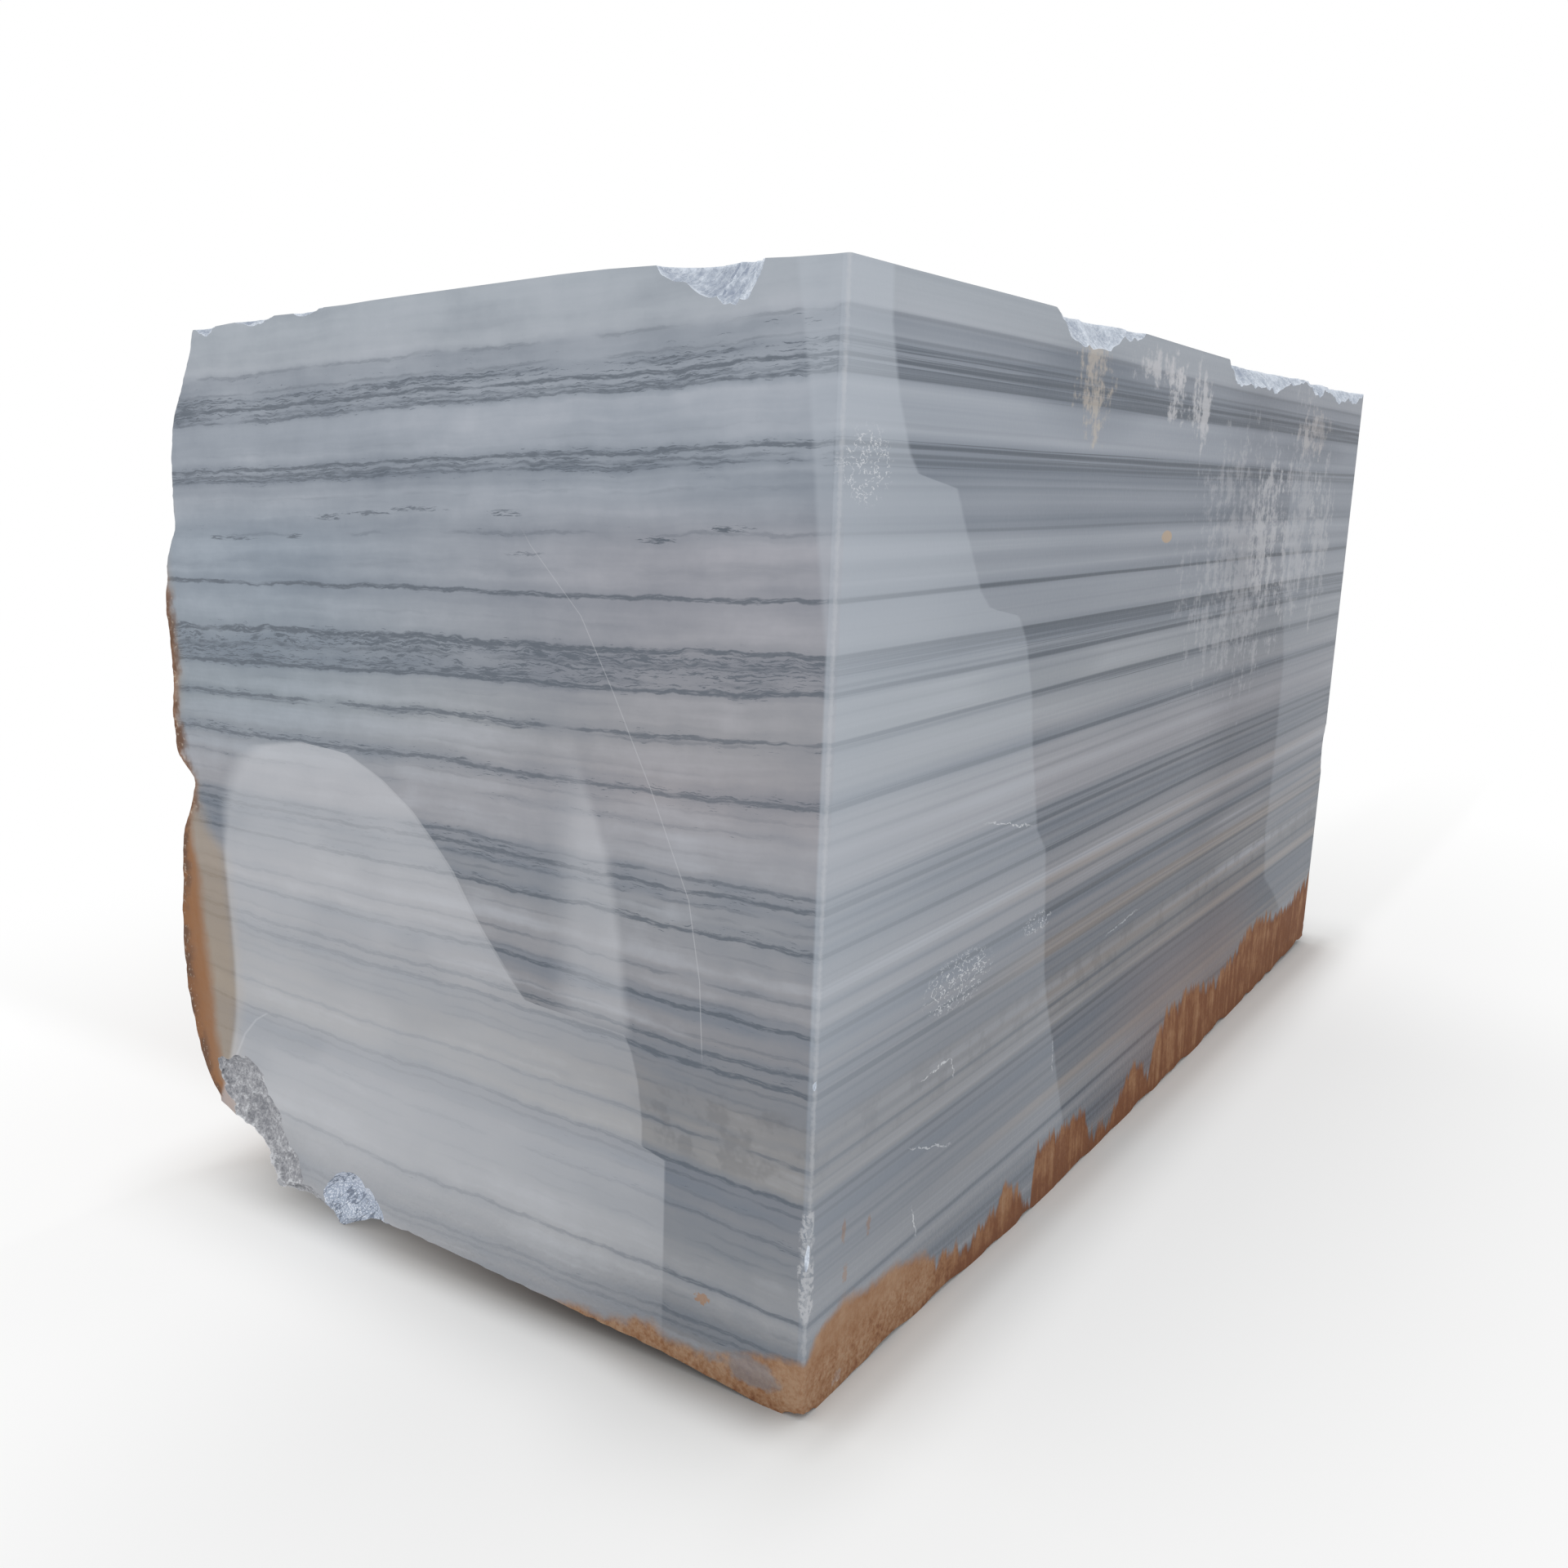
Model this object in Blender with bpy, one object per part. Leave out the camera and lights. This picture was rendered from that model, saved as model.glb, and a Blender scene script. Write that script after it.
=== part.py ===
"""Marble block: one quarry block with sawn faces and a natural flank.

Metres, +Z up. The origin is the middle of the footprint on the ground.
+Y runs along the block, +X is the long sawn side and -X the natural flank.
"""
import math

import bmesh
import bpy
from mathutils import Matrix, Vector, noise

# Sawn body. Its own corner is the foot of the edge where front and side meet.
HEIGHT = 1.780
LENGTH = 3.090
LEAN_X = 0.0364
LEAN_Y = 0.0096
ROUGH_WIDTH = 1.75
FOOTPRINT_MIDDLE = (-0.7589, 1.5535)

# Outline of the natural flank on the front face: height, distance from the corner.
FLANK = (
    (-0.05, 1.47), (0.20, 1.50), (0.25, 1.545), (0.34, 1.575), (0.43, 1.595),
    (0.52, 1.605), (0.62, 1.60), (0.70, 1.59), (0.76, 1.585), (0.80, 1.57),
    (0.84, 1.545), (0.88, 1.53), (0.905, 1.555), (0.94, 1.59), (1.02, 1.60),
    (1.10, 1.59), (1.18, 1.597), (1.25, 1.605), (1.33, 1.59), (1.40, 1.56),
    (1.53, 1.56), (1.60, 1.55), (1.64, 1.53), (1.70, 1.50), (1.77, 1.47),
    (1.90, 1.42),
)

# Lower edge of the front face: distance from the corner, height above the ground.
FRONT_FOOT = (
    (-0.20, 0.0), (0.08, 0.0), (0.20, 0.014), (0.30, 0.024), (0.50, 0.034),
    (0.70, 0.045), (0.90, 0.055), (0.97, 0.055), (1.05, 0.035), (1.10, 0.012),
    (1.13, 0.0), (1.16, 0.008), (1.20, 0.020), (1.30, 0.035), (1.33, 0.060),
    (1.35, 0.10), (1.37, 0.125), (1.40, 0.145), (1.47, 0.18), (1.50, 0.19),
    (1.60, 0.25), (1.90, 0.32),
)

# Upper edge of the front face: distance from the corner, rise over HEIGHT.
FRONT_TOP = (
    (-0.20, -0.002), (0.0, 0.0), (0.10, 0.006), (0.40, 0.016), (0.90, 0.010),
    (1.20, 0.001), (1.47, -0.011), (1.90, -0.020),
)

# Chipped part of the upper side edge: distance along the block, how far the
# break comes down the side face.
CHIPPED_EDGE = (
    (0.0, -0.03), (0.68, -0.02), (0.72, 0.010), (0.78, 0.046), (0.83, 0.054),
    (0.98, 0.048), (1.05, 0.026), (1.14, 0.014), (1.20, -0.010), (1.40, -0.03),
    (1.68, -0.02), (1.72, 0.012), (1.79, 0.050), (1.84, 0.060), (2.12, 0.057),
    (2.20, 0.045), (2.27, 0.032), (2.33, 0.016), (2.42, 0.012), (2.47, 0.026),
    (2.52, 0.048), (2.57, 0.046), (2.62, 0.022), (2.68, 0.020), (2.79, 0.044),
    (2.88, 0.036), (3.00, 0.032), (3.06, 0.012), (3.30, 0.012),
)

# Flakes broken from the edges: centre in the corner's frame, radii, turn in degrees.
FLAKES = (
    ((-0.190, -0.012, 1.826), (0.108, 0.078, 0.082), 14.0),
    ((-0.120, -0.014, 1.785), (0.054, 0.058, 0.076), -14.0),
    ((-1.060, 0.008, 1.812), (0.070, 0.030, 0.036), 0.0),
    ((-1.235, 0.006, 1.801), (0.085, 0.034, 0.036), 4.0),
    ((-1.370, 0.006, 1.794), (0.050, 0.030, 0.036), 0.0),
    ((-0.420, 3.135, 1.815), (0.190, 0.075, 0.075), 5.0),
    ((-0.940, 3.130, 1.805), (0.110, 0.065, 0.060), -4.0),
    ((-1.190, 3.128, 1.800), (0.160, 0.060, 0.070), 8.0),
    ((-1.074, -0.070, 0.000), (0.148, 0.100, 0.164), 12.0),
    ((-1.408, -0.024, 0.240), (0.104, 0.050, 0.074), 20.0),
    ((-1.368, -0.028, 0.166), (0.112, 0.055, 0.096), 46.0),
    ((-1.306, -0.026, 0.108), (0.098, 0.050, 0.080), 38.0),
    ((-1.222, -0.020, 0.012), (0.116, 0.055, 0.058), 10.0),
    ((0.012, -0.012, -0.020), (0.064, 0.060, 0.036), 0.0),
    ((0.018, 0.105, 0.018), (0.018, 0.038, 0.028), 0.0),
    ((0.032, -0.020, 0.255), (0.040, 0.032, 0.120), 0.0),
    ((0.044, -0.018, 0.560), (0.038, 0.034, 0.060), 0.0),
    ((-0.600, 3.140, 0.010), (0.220, 0.080, 0.130), 0.0),
    ((0.040, 3.112, 0.660), (0.045, 0.040, 0.090), 0.0),
    ((0.060, 3.130, 0.050), (0.070, 0.075, 0.110), 0.0),
)

# Rough facets where a corner broke off: centre, outward direction, size, unevenness.
FACETS = (
    ((-1.330, 2.900, 0.190), (-0.55, 0.52, -0.65), 1.50, 0.050),
    ((-1.330, 2.960, 1.670), (-0.62, 0.58, 0.53), 1.30, 0.045),
    ((-1.440, 1.250, 1.680), (-0.66, -0.10, 0.75), 1.20, 0.050),
)

# Ledges across the natural flank: height at the front, dip along Y, depth, thickness.
LEDGES = (
    (0.33, -0.03, 0.035, 0.10), (0.62, 0.05, 0.045, 0.13), (0.90, -0.02, 0.040, 0.16),
    (1.18, 0.03, 0.030, 0.11), (1.42, -0.04, 0.050, 0.15),
)


def between(table, at):
    """Read a table of pairs at one place, in straight steps."""
    for (a, low), (b, high) in zip(table, table[1:]):
        if at <= b:
            part = (at - a) / (b - a)
            return low + (high - low) * max(0.0, part)
    return table[-1][1]


def ease(edge_a, edge_b, at):
    """Go smoothly from 0 to 1 between two edges."""
    part = min(1.0, max(0.0, (at - edge_a) / (edge_b - edge_a)))
    return part * part * (3.0 - 2.0 * part)


def rough(x, y, z, size):
    """Uneven stone of one lump size, from about -1 to 1."""
    place = Vector((x, y, z)) / size
    return noise.noise(place) + 0.5 * noise.noise(place * 2.1 + Vector((7.0, 3.0, 5.0)))


def scars(y, z, width):
    """Shell-shaped scars with ridges between them, 0 in a hollow and 1 on a ridge."""
    place = Vector((0.0, y / width, 1.35 * z / width))
    place.y += 0.25 * noise.noise(place * 1.7)
    nearest = noise.voronoi(place)[0][0]
    return min(1.0, nearest / 0.75) ** 1.5


def flank_depth(y, z):
    """Distance of the natural flank from the long sawn side."""
    inner = ease(0.02, 0.55, y)
    drift = inner * (0.10 * math.sin(1.9 * y) + 0.05 * rough(0.0, y, 4.0, 0.6))
    depth = between(FLANK, z + drift)
    depth -= inner * 0.050
    depth += inner * 0.080 * rough(2.0, y, z, 0.62)
    depth += inner * (0.085 * scars(y, z, 0.42) - 0.050)
    for height, dip, step, thick in LEDGES:
        level = height + dip * y + 0.05 * rough(5.0, y, height, 0.5)
        above = ease(0.0, 0.05, z - level) - ease(0.0, thick, z - level - 0.05)
        depth -= inner * step * above * (0.6 + rough(height, y, 3.0, 0.7))
    worn = ease(0.28, 0.0, z) * inner * 0.13 + ease(1.60, 1.82, z) * inner * 0.07
    return min(depth - worn, 1.604)


def underside(x, y):
    """Height of the broken underside above the ground, nought where it rests."""
    width = -x
    lift = 0.085 * rough(width, y, 1.0, 0.48) - 0.012
    lift -= 0.16 * ease(0.75, 0.35, math.hypot(width - 0.76, (y - 1.56) * 0.55))
    lift -= 0.10 * ease(0.30, 0.10, width)
    lift = max(0.0, lift)
    lift += 0.16 * ease(1.12, 1.60, width) * (1.0 + 0.6 * rough(width, y, 2.0, 0.3))
    lift += 0.018 * ease(2.55, 3.10, y)
    edge = ease(0.02, 0.22, y)
    return max(0.0, between(FRONT_FOOT, width)) * (1.0 - edge) + lift * edge


def top_height(x, y):
    """Height of the sawn top, which bows a little along the front edge."""
    width = -x
    front = between(FRONT_TOP, width)
    bow = 0.004 * math.sin(2.1 * y + 0.4) - 0.006 * ease(0.6, 1.6, width)
    inner = ease(0.0, 0.9, y)
    return HEIGHT + front * (1.0 - inner) + bow * inner


def closed_slab(name, size_u, size_v, steps, place, shape, back):
    """Make a cutter: one shaped face closed by a plain back.

    Args: name of the object, the two sizes and steps of the face, the matrix
    that places its plane, the function that moves a point of the face, and
    the vector from the face to its plain back.
    Returns: the cutter object.
    """
    bm = bmesh.new()
    bmesh.ops.create_grid(bm, x_segments=steps[0], y_segments=steps[1], size=0.5)
    bmesh.ops.transform(bm, matrix=place @ Matrix.Diagonal((size_u, size_v, 1.0, 1.0)), verts=bm.verts)
    made = bmesh.ops.extrude_face_region(bm, geom=bm.faces[:], use_keep_orig=True)
    far = [item for item in made["geom"] if isinstance(item, bmesh.types.BMVert)]
    near = [vert for vert in bm.verts if vert not in set(far)]
    bmesh.ops.translate(bm, vec=back, verts=far)
    for vert in near:
        vert.co = shape(vert.co)
    bmesh.ops.recalc_face_normals(bm, faces=bm.faces)
    return as_object(bm, name)


def flake(name, centre, radii, turn):
    """Make the cutter of one shell-shaped flake."""
    bm = bmesh.new()
    bmesh.ops.create_icosphere(bm, subdivisions=2, radius=1.0)
    for vert in bm.verts:
        uneven = 0.20 * rough(vert.co.x + centre[0] * 9.0, vert.co.y + centre[1] * 9.0, vert.co.z, 0.9)
        vert.co *= 1.0 + uneven
    size = Matrix.Diagonal((radii[0], radii[1], radii[2], 1.0))
    spin = Matrix.Rotation(math.radians(turn), 4, "Y" if radii[0] > radii[1] else "X")
    bmesh.ops.transform(bm, matrix=Matrix.Translation(centre) @ spin @ size, verts=bm.verts)
    return as_object(bm, name)


def facet(name, centre, outward, size, uneven):
    """Make the cutter of one rough facet across a corner."""
    outward = Vector(outward).normalized()

    def shape(at):
        return at + outward * uneven * rough(at.x, at.y, at.z, 0.26)
    place = Matrix.Translation(centre) @ outward.to_track_quat("Z", "Y").to_matrix().to_4x4()
    return closed_slab(name, size, size, (14, 14), place, shape, outward * 0.8)


def chipped_edge_cutter():
    """Make the cutter that chips the upper edge of the sawn side."""
    outward = Vector((0.80, 0.0, 0.60)).normalized()
    edge_x = LEAN_X * HEIGHT

    def shape(at):
        broken = between(CHIPPED_EDGE, at.y)
        return at - outward * (broken * outward.z + 0.007 * rough(at.x, at.y, at.z, 0.09))
    turn = Matrix.Rotation(math.atan2(outward.x, outward.z), 4, "Y")
    place = Matrix.Translation((edge_x, 1.90, HEIGHT)) @ turn
    return closed_slab("chipped_edge", 0.44, 2.70, (12, 96), place, shape, outward * 0.3)


def as_object(bm, name):
    """Turn a bmesh into a linked object of flat triangles."""
    bmesh.ops.triangulate(bm, faces=bm.faces)
    mesh = bpy.data.meshes.new(name)
    bm.to_mesh(mesh)
    bm.free()
    made = bpy.data.objects.new(name, mesh)
    bpy.context.scene.collection.objects.link(made)
    return made


def sawn_body():
    """Make the box the saws left, tall and wide enough for the rough faces."""
    bm = bmesh.new()
    bmesh.ops.create_cube(bm, size=1.0)
    size = Matrix.Diagonal((ROUGH_WIDTH, LENGTH, 2.1, 1.0))
    middle = Matrix.Translation((-ROUGH_WIDTH / 2.0, LENGTH / 2.0, 0.9))
    bmesh.ops.transform(bm, matrix=middle @ size, verts=bm.verts)
    bmesh.ops.subdivide_edges(bm, edges=bm.edges[:], cuts=7, use_grid_fill=True)
    for vert in bm.verts:
        at = vert.co.copy()
        side = ease(-0.30, 0.0, at.x)
        foot = ease(0.32, 0.0, at.z) * ease(0.3, 0.9, at.y) * ease(2.6, 1.7, at.y)
        vert.co.x += side * (0.015 * foot + 0.002 * math.sin(3.1 * at.y))
        vert.co.x += LEAN_X * at.z
        vert.co.y += LEAN_Y * at.z
    return as_object(bm, "marble_block")


def cut(body, cutter):
    """Take one cutter away from the body and remove the cutter."""
    cutter.display_type = "WIRE"
    cutter.hide_render = True
    step = body.modifiers.new("cut", "BOOLEAN")
    step.operation = "DIFFERENCE"
    step.solver = "EXACT"
    step.object = cutter
    bpy.context.view_layer.update()
    graph = bpy.context.evaluated_depsgraph_get()
    mesh = bpy.data.meshes.new_from_object(body.evaluated_get(graph))
    body.modifiers.clear()
    bm = bmesh.new()
    bm.from_mesh(mesh)
    bmesh.ops.triangulate(bm, faces=bm.faces)
    bm.to_mesh(mesh)
    bm.free()
    body.data = mesh
    bpy.data.objects.remove(cutter)


def flank_cutter():
    """Make the cutter whose face is the natural flank."""
    def shape(at):
        return Vector((-flank_depth(at.y, at.z) + LEAN_X * at.z, at.y, at.z))
    turn = Matrix.Translation((-1.5, LENGTH / 2.0, 0.9)) @ Matrix.Rotation(math.radians(90.0), 4, "Y")
    return closed_slab("flank", 2.3, 3.5, (46, 48), turn, shape, Vector((-0.7, 0.0, 0.0)))


def underside_cutter():
    """Make the cutter whose face is the broken underside."""
    def shape(at):
        return Vector((at.x, at.y, underside(at.x, at.y)))
    place = Matrix.Translation((-0.83, LENGTH / 2.0, 0.0))
    return closed_slab("underside", 2.0, 3.4, (42, 44), place, shape, Vector((0.0, 0.0, -0.4)))


def top_cutter():
    """Make the cutter whose face is the sawn top."""
    def shape(at):
        return Vector((at.x, at.y, top_height(at.x, at.y)))
    place = Matrix.Translation((-0.83, LENGTH / 2.0, 0.0))
    return closed_slab("top", 2.0, 3.4, (20, 12), place, shape, Vector((0.0, 0.0, 2.4)))


def tidy(body):
    """Merge stray points, split the faces into triangles and set the origin."""
    bm = bmesh.new()
    bm.from_mesh(body.data)
    bmesh.ops.remove_doubles(bm, verts=bm.verts, dist=0.0001)
    bmesh.ops.triangulate(bm, faces=bm.faces)
    bmesh.ops.translate(bm, vec=(-FOOTPRINT_MIDDLE[0], -FOOTPRINT_MIDDLE[1], 0.0), verts=bm.verts)
    bmesh.ops.recalc_face_normals(bm, faces=bm.faces)
    bm.to_mesh(body.data)
    bm.free()


def marble():
    """Make the material of the block."""
    stone = bpy.data.materials.new("grey_marble")
    stone.use_nodes = True
    shader = stone.node_tree.nodes["Principled BSDF"]
    shader.inputs["Base Color"].default_value = (0.42, 0.45, 0.48, 1.0)
    shader.inputs["Roughness"].default_value = 0.45
    return stone


def main():
    """Build the block from its sawn body and what broke away."""
    for old in list(bpy.data.objects):
        bpy.data.objects.remove(old)
    body = sawn_body()
    cut(body, top_cutter())
    cut(body, flank_cutter())
    cut(body, underside_cutter())
    cut(body, chipped_edge_cutter())
    for number, (centre, outward, size, uneven) in enumerate(FACETS):
        cut(body, facet(f"facet_{number}", centre, outward, size, uneven))
    for number, (centre, radii, turn) in enumerate(FLAKES):
        cut(body, flake(f"flake_{number}", centre, radii, turn))
    tidy(body)
    body.data.materials.clear()
    body.data.materials.append(marble())


main()
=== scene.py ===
"""Grey banded marble block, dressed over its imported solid.

The block is one stone. Its sawn faces show fine bedding, its arrises are
chipped, one flank is natural rock, and mud and lime have dried on it.
Lengths are metres in the solid's own frame, +Z up.
"""
import logging
import math
from collections.abc import Callable, Mapping, Sequence
from dataclasses import dataclass, field
from enum import Enum

import bmesh
import bpy
from mathutils import Matrix, Vector, noise


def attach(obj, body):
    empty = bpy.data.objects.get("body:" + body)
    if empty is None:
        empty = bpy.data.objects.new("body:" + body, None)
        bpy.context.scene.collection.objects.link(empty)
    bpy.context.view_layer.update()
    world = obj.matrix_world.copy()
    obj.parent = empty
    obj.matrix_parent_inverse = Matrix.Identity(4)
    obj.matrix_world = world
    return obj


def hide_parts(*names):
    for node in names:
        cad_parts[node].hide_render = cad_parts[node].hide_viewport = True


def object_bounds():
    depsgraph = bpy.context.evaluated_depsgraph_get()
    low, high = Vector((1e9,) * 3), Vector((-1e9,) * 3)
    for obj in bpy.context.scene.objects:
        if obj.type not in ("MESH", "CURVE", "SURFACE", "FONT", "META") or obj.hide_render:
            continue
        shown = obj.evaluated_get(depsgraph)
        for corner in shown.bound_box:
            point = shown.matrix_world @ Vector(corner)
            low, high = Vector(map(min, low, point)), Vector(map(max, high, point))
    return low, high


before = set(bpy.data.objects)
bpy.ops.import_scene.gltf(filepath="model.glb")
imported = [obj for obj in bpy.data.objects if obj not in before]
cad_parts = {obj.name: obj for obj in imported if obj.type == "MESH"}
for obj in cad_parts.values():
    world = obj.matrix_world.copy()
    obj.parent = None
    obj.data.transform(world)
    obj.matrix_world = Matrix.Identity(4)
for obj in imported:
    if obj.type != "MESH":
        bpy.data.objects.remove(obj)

LOG = logging.getLogger("marble")
CAD_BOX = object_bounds()

Number = float | int
Pair = tuple[float, float]
Triple = tuple[float, float, float]
Steps = tuple[int, int]


def tone(red: Number, green: Number, blue: Number) -> Triple:
    """Turn a paint-chart colour, 0 to 255, into the linear one that shaders take.

    Args:
        red: red on the chart.
        green: green on the chart.
        blue: blue on the chart.

    Returns:
        The linear colour.
    """
    def linear(value: Number) -> float:
        """Undo the display curve of one channel."""
        share = value / 255.0
        return share / 12.92 if share <= 0.04045 else ((share + 0.055) / 1.055) ** 2.4

    return (linear(red), linear(green), linear(blue))


def between(table: Sequence[Pair], at: float) -> float:
    """Read a table of pairs at one place, in straight steps.

    Args:
        table: places and their values, in rising order.
        at: the place to read.

    Returns:
        The value there.
    """
    for (a, low), (b, high) in zip(table, table[1:]):
        if at <= b:
            return low + (high - low) * max(0.0, (at - a) / (b - a))
    return table[-1][1]


def ease(low: float, high: float, at: float) -> float:
    """Go smoothly from 0 at low to 1 at high."""
    part = min(1.0, max(0.0, (at - low) / (high - low)))
    return part * part * (3.0 - 2.0 * part)


def rough(x: float, y: float, z: float, size: float) -> float:
    """Give uneven stone of one lump size, from about -1 to 1."""
    place = Vector((x, y, z)) / size
    return noise.noise(place) + 0.5 * noise.noise(place * 2.1 + Vector((7.0, 3.0, 5.0)))


class Skin(Enum):
    """What left a face of the stone as it is."""

    SAWN = "sawn_marble"
    BROKEN = "broken_marble"
    NATURAL = "natural_rock"
    UNDER = "split_underside"


# ---------------------------------------------------------------- shape


@dataclass(frozen=True)
class Flake:
    """A shell-shaped piece knocked off an edge."""

    centre: Triple
    radii: Triple
    turn: float = 0.0
    crumble: float = 1.0


@dataclass(frozen=True)
class Facet:
    """A rough facet where a corner broke away."""

    centre: Triple
    outward: Triple
    size: float
    uneven: float
    skin: Skin = Skin.BROKEN


@dataclass(frozen=True)
class Ledge:
    """A ledge that runs across the natural flank."""

    height: float
    dip: float
    depth: float
    thick: float


@dataclass(frozen=True)
class StoneShape:
    """Sizes of the stone, measured from the foot of its near edge."""

    height: float = 1.780
    length: float = 3.090
    lean_x: float = 0.0364
    lean_y: float = 0.0096
    rough_width: float = 1.75
    middle: Pair = (-0.7589, 1.5535)
    widest: float = 1.604
    notch_height: float = 0.90
    flank: tuple[Pair, ...] = (
        (-0.05, 1.47), (0.20, 1.50), (0.25, 1.545), (0.34, 1.575), (0.43, 1.595),
        (0.52, 1.605), (0.62, 1.60), (0.70, 1.59), (0.76, 1.585), (0.80, 1.57),
        (0.84, 1.545), (0.88, 1.53), (0.905, 1.555), (0.94, 1.59), (1.02, 1.60),
        (1.10, 1.59), (1.18, 1.597), (1.25, 1.605), (1.33, 1.59), (1.40, 1.56),
        (1.53, 1.56), (1.60, 1.55), (1.64, 1.53), (1.70, 1.50), (1.77, 1.47),
        (1.90, 1.42),
    )
    front_foot: tuple[Pair, ...] = (
        (-0.20, 0.0), (0.08, 0.0), (0.20, 0.014), (0.30, 0.024), (0.50, 0.034),
        (0.70, 0.045), (0.90, 0.055), (0.97, 0.055), (1.05, 0.035), (1.10, 0.012),
        (1.13, 0.0), (1.16, 0.008), (1.20, 0.020), (1.30, 0.035), (1.33, 0.060),
        (1.35, 0.10), (1.37, 0.125), (1.40, 0.145), (1.47, 0.18), (1.50, 0.19),
        (1.60, 0.25), (1.90, 0.32),
    )
    front_top: tuple[Pair, ...] = (
        (-0.20, -0.002), (0.0, 0.0), (0.10, 0.006), (0.40, 0.016), (0.90, 0.010),
        (1.20, 0.001), (1.47, -0.011), (1.90, -0.020),
    )
    chipped_edge: tuple[Pair, ...] = (
        (0.0, -0.03), (0.68, -0.02), (0.72, 0.010), (0.78, 0.046), (0.83, 0.054),
        (0.98, 0.048), (1.05, 0.026), (1.14, 0.014), (1.20, -0.010), (1.40, -0.03),
        (1.68, -0.02), (1.72, 0.012), (1.79, 0.050), (1.84, 0.060), (2.12, 0.057),
        (2.20, 0.045), (2.27, 0.032), (2.33, 0.016), (2.42, 0.012), (2.47, 0.026),
        (2.52, 0.048), (2.57, 0.046), (2.62, 0.022), (2.68, 0.020), (2.79, 0.044),
        (2.88, 0.036), (3.00, 0.032), (3.06, 0.012), (3.30, 0.012),
    )
    flakes: tuple[Flake, ...] = (
        Flake((-0.190, -0.012, 1.826), (0.108, 0.078, 0.082), 14.0),
        Flake((-0.120, -0.014, 1.785), (0.054, 0.058, 0.076), -14.0),
        Flake((-1.060, 0.008, 1.812), (0.070, 0.030, 0.036)),
        Flake((-1.235, 0.006, 1.801), (0.085, 0.034, 0.036), 4.0),
        Flake((-1.370, 0.006, 1.794), (0.050, 0.030, 0.036)),
        Flake((-0.420, 3.135, 1.815), (0.190, 0.075, 0.075), 5.0),
        Flake((-0.940, 3.130, 1.805), (0.110, 0.065, 0.060), -4.0),
        Flake((-1.190, 3.128, 1.800), (0.160, 0.060, 0.070), 8.0),
        Flake((-1.074, -0.070, 0.000), (0.148, 0.100, 0.164), 12.0),
        Flake((-1.408, -0.024, 0.240), (0.104, 0.050, 0.074), 20.0, 2.0),
        Flake((-1.368, -0.028, 0.166), (0.112, 0.055, 0.096), 46.0, 2.0),
        Flake((-1.306, -0.026, 0.108), (0.098, 0.050, 0.080), 38.0, 2.0),
        Flake((-1.222, -0.020, 0.012), (0.116, 0.055, 0.058), 10.0, 2.0),
        Flake((0.012, -0.012, -0.020), (0.064, 0.060, 0.036)),
        Flake((0.018, 0.105, 0.018), (0.018, 0.038, 0.028)),
        Flake((0.032, -0.020, 0.255), (0.040, 0.032, 0.120)),
        Flake((0.044, -0.018, 0.560), (0.038, 0.034, 0.060)),
        Flake((-0.600, 3.140, 0.010), (0.220, 0.080, 0.130)),
        Flake((0.040, 3.112, 0.660), (0.045, 0.040, 0.090)),
        Flake((0.060, 3.130, 0.050), (0.070, 0.075, 0.110)),
    )
    facets: tuple[Facet, ...] = (
        Facet((-1.330, 2.900, 0.190), (-0.55, 0.52, -0.65), 1.50, 0.050),
        Facet((-1.330, 2.960, 1.670), (-0.62, 0.58, 0.53), 1.30, 0.045),
        Facet((-1.440, 1.250, 1.680), (-0.66, -0.10, 0.75), 1.20, 0.050, Skin.NATURAL),
    )
    ledges: tuple[Ledge, ...] = (
        Ledge(0.33, -0.03, 0.035, 0.10), Ledge(0.62, 0.05, 0.045, 0.13),
        Ledge(0.90, -0.02, 0.040, 0.16), Ledge(1.18, 0.03, 0.030, 0.11),
        Ledge(1.42, -0.04, 0.050, 0.15),
    )

    def scars(self, y: float, z: float, width: float) -> float:
        """Give shell-shaped scars, 0 in a hollow and 1 on the ridge between two.

        Args:
            y: distance along the block.
            z: height.
            width: the size of one scar.

        Returns:
            The height between hollow and ridge, 0 to 1.
        """
        place = Vector((0.0, y / width, 1.35 * z / width))
        place.y += 0.25 * noise.noise(place * 1.7)
        return min(1.0, noise.voronoi(place)[0][0] / 0.75) ** 1.5

    def flank_depth(self, y: float, z: float) -> float:
        """Give the distance of the natural flank from the long sawn side.

        Args:
            y: distance along the block.
            z: height.

        Returns:
            The distance, with the fine grain of the rock on it.
        """
        inner = ease(0.02, 0.55, y)
        drift = inner * (0.10 * math.sin(1.9 * y) + 0.05 * rough(0.0, y, 4.0, 0.6))
        depth = between(self.flank, z + drift) - inner * 0.050
        depth += inner * 0.080 * rough(2.0, y, z, 0.62)
        depth += inner * (0.085 * self.scars(y, z, 0.42) - 0.050)
        for ledge in self.ledges:
            level = ledge.height + ledge.dip * y + 0.05 * rough(5.0, y, ledge.height, 0.5)
            above = ease(0.0, 0.05, z - level) - ease(0.0, ledge.thick, z - level - 0.05)
            depth -= inner * ledge.depth * above * (0.6 + rough(ledge.height, y, 3.0, 0.7))
        worn = ease(0.28, 0.0, z) * inner * 0.13 + ease(1.60, 1.82, z) * inner * 0.07
        grain = (0.45 + inner) * (0.012 * rough(3.0, y, z, 0.10) + 0.005 * rough(8.0, y, z, 0.035))
        notch = ease(0.07, 0.0, abs(z - self.notch_height))
        grain += 0.0045 * rough(1.0, y, z, 0.026) + 0.010 * notch * rough(6.0, y, z, 0.04)
        grain += inner * 0.018 * (self.scars(y + 4.0, z + 2.0, 0.13) - 0.5)
        return min(depth - worn + grain, self.widest)

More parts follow.
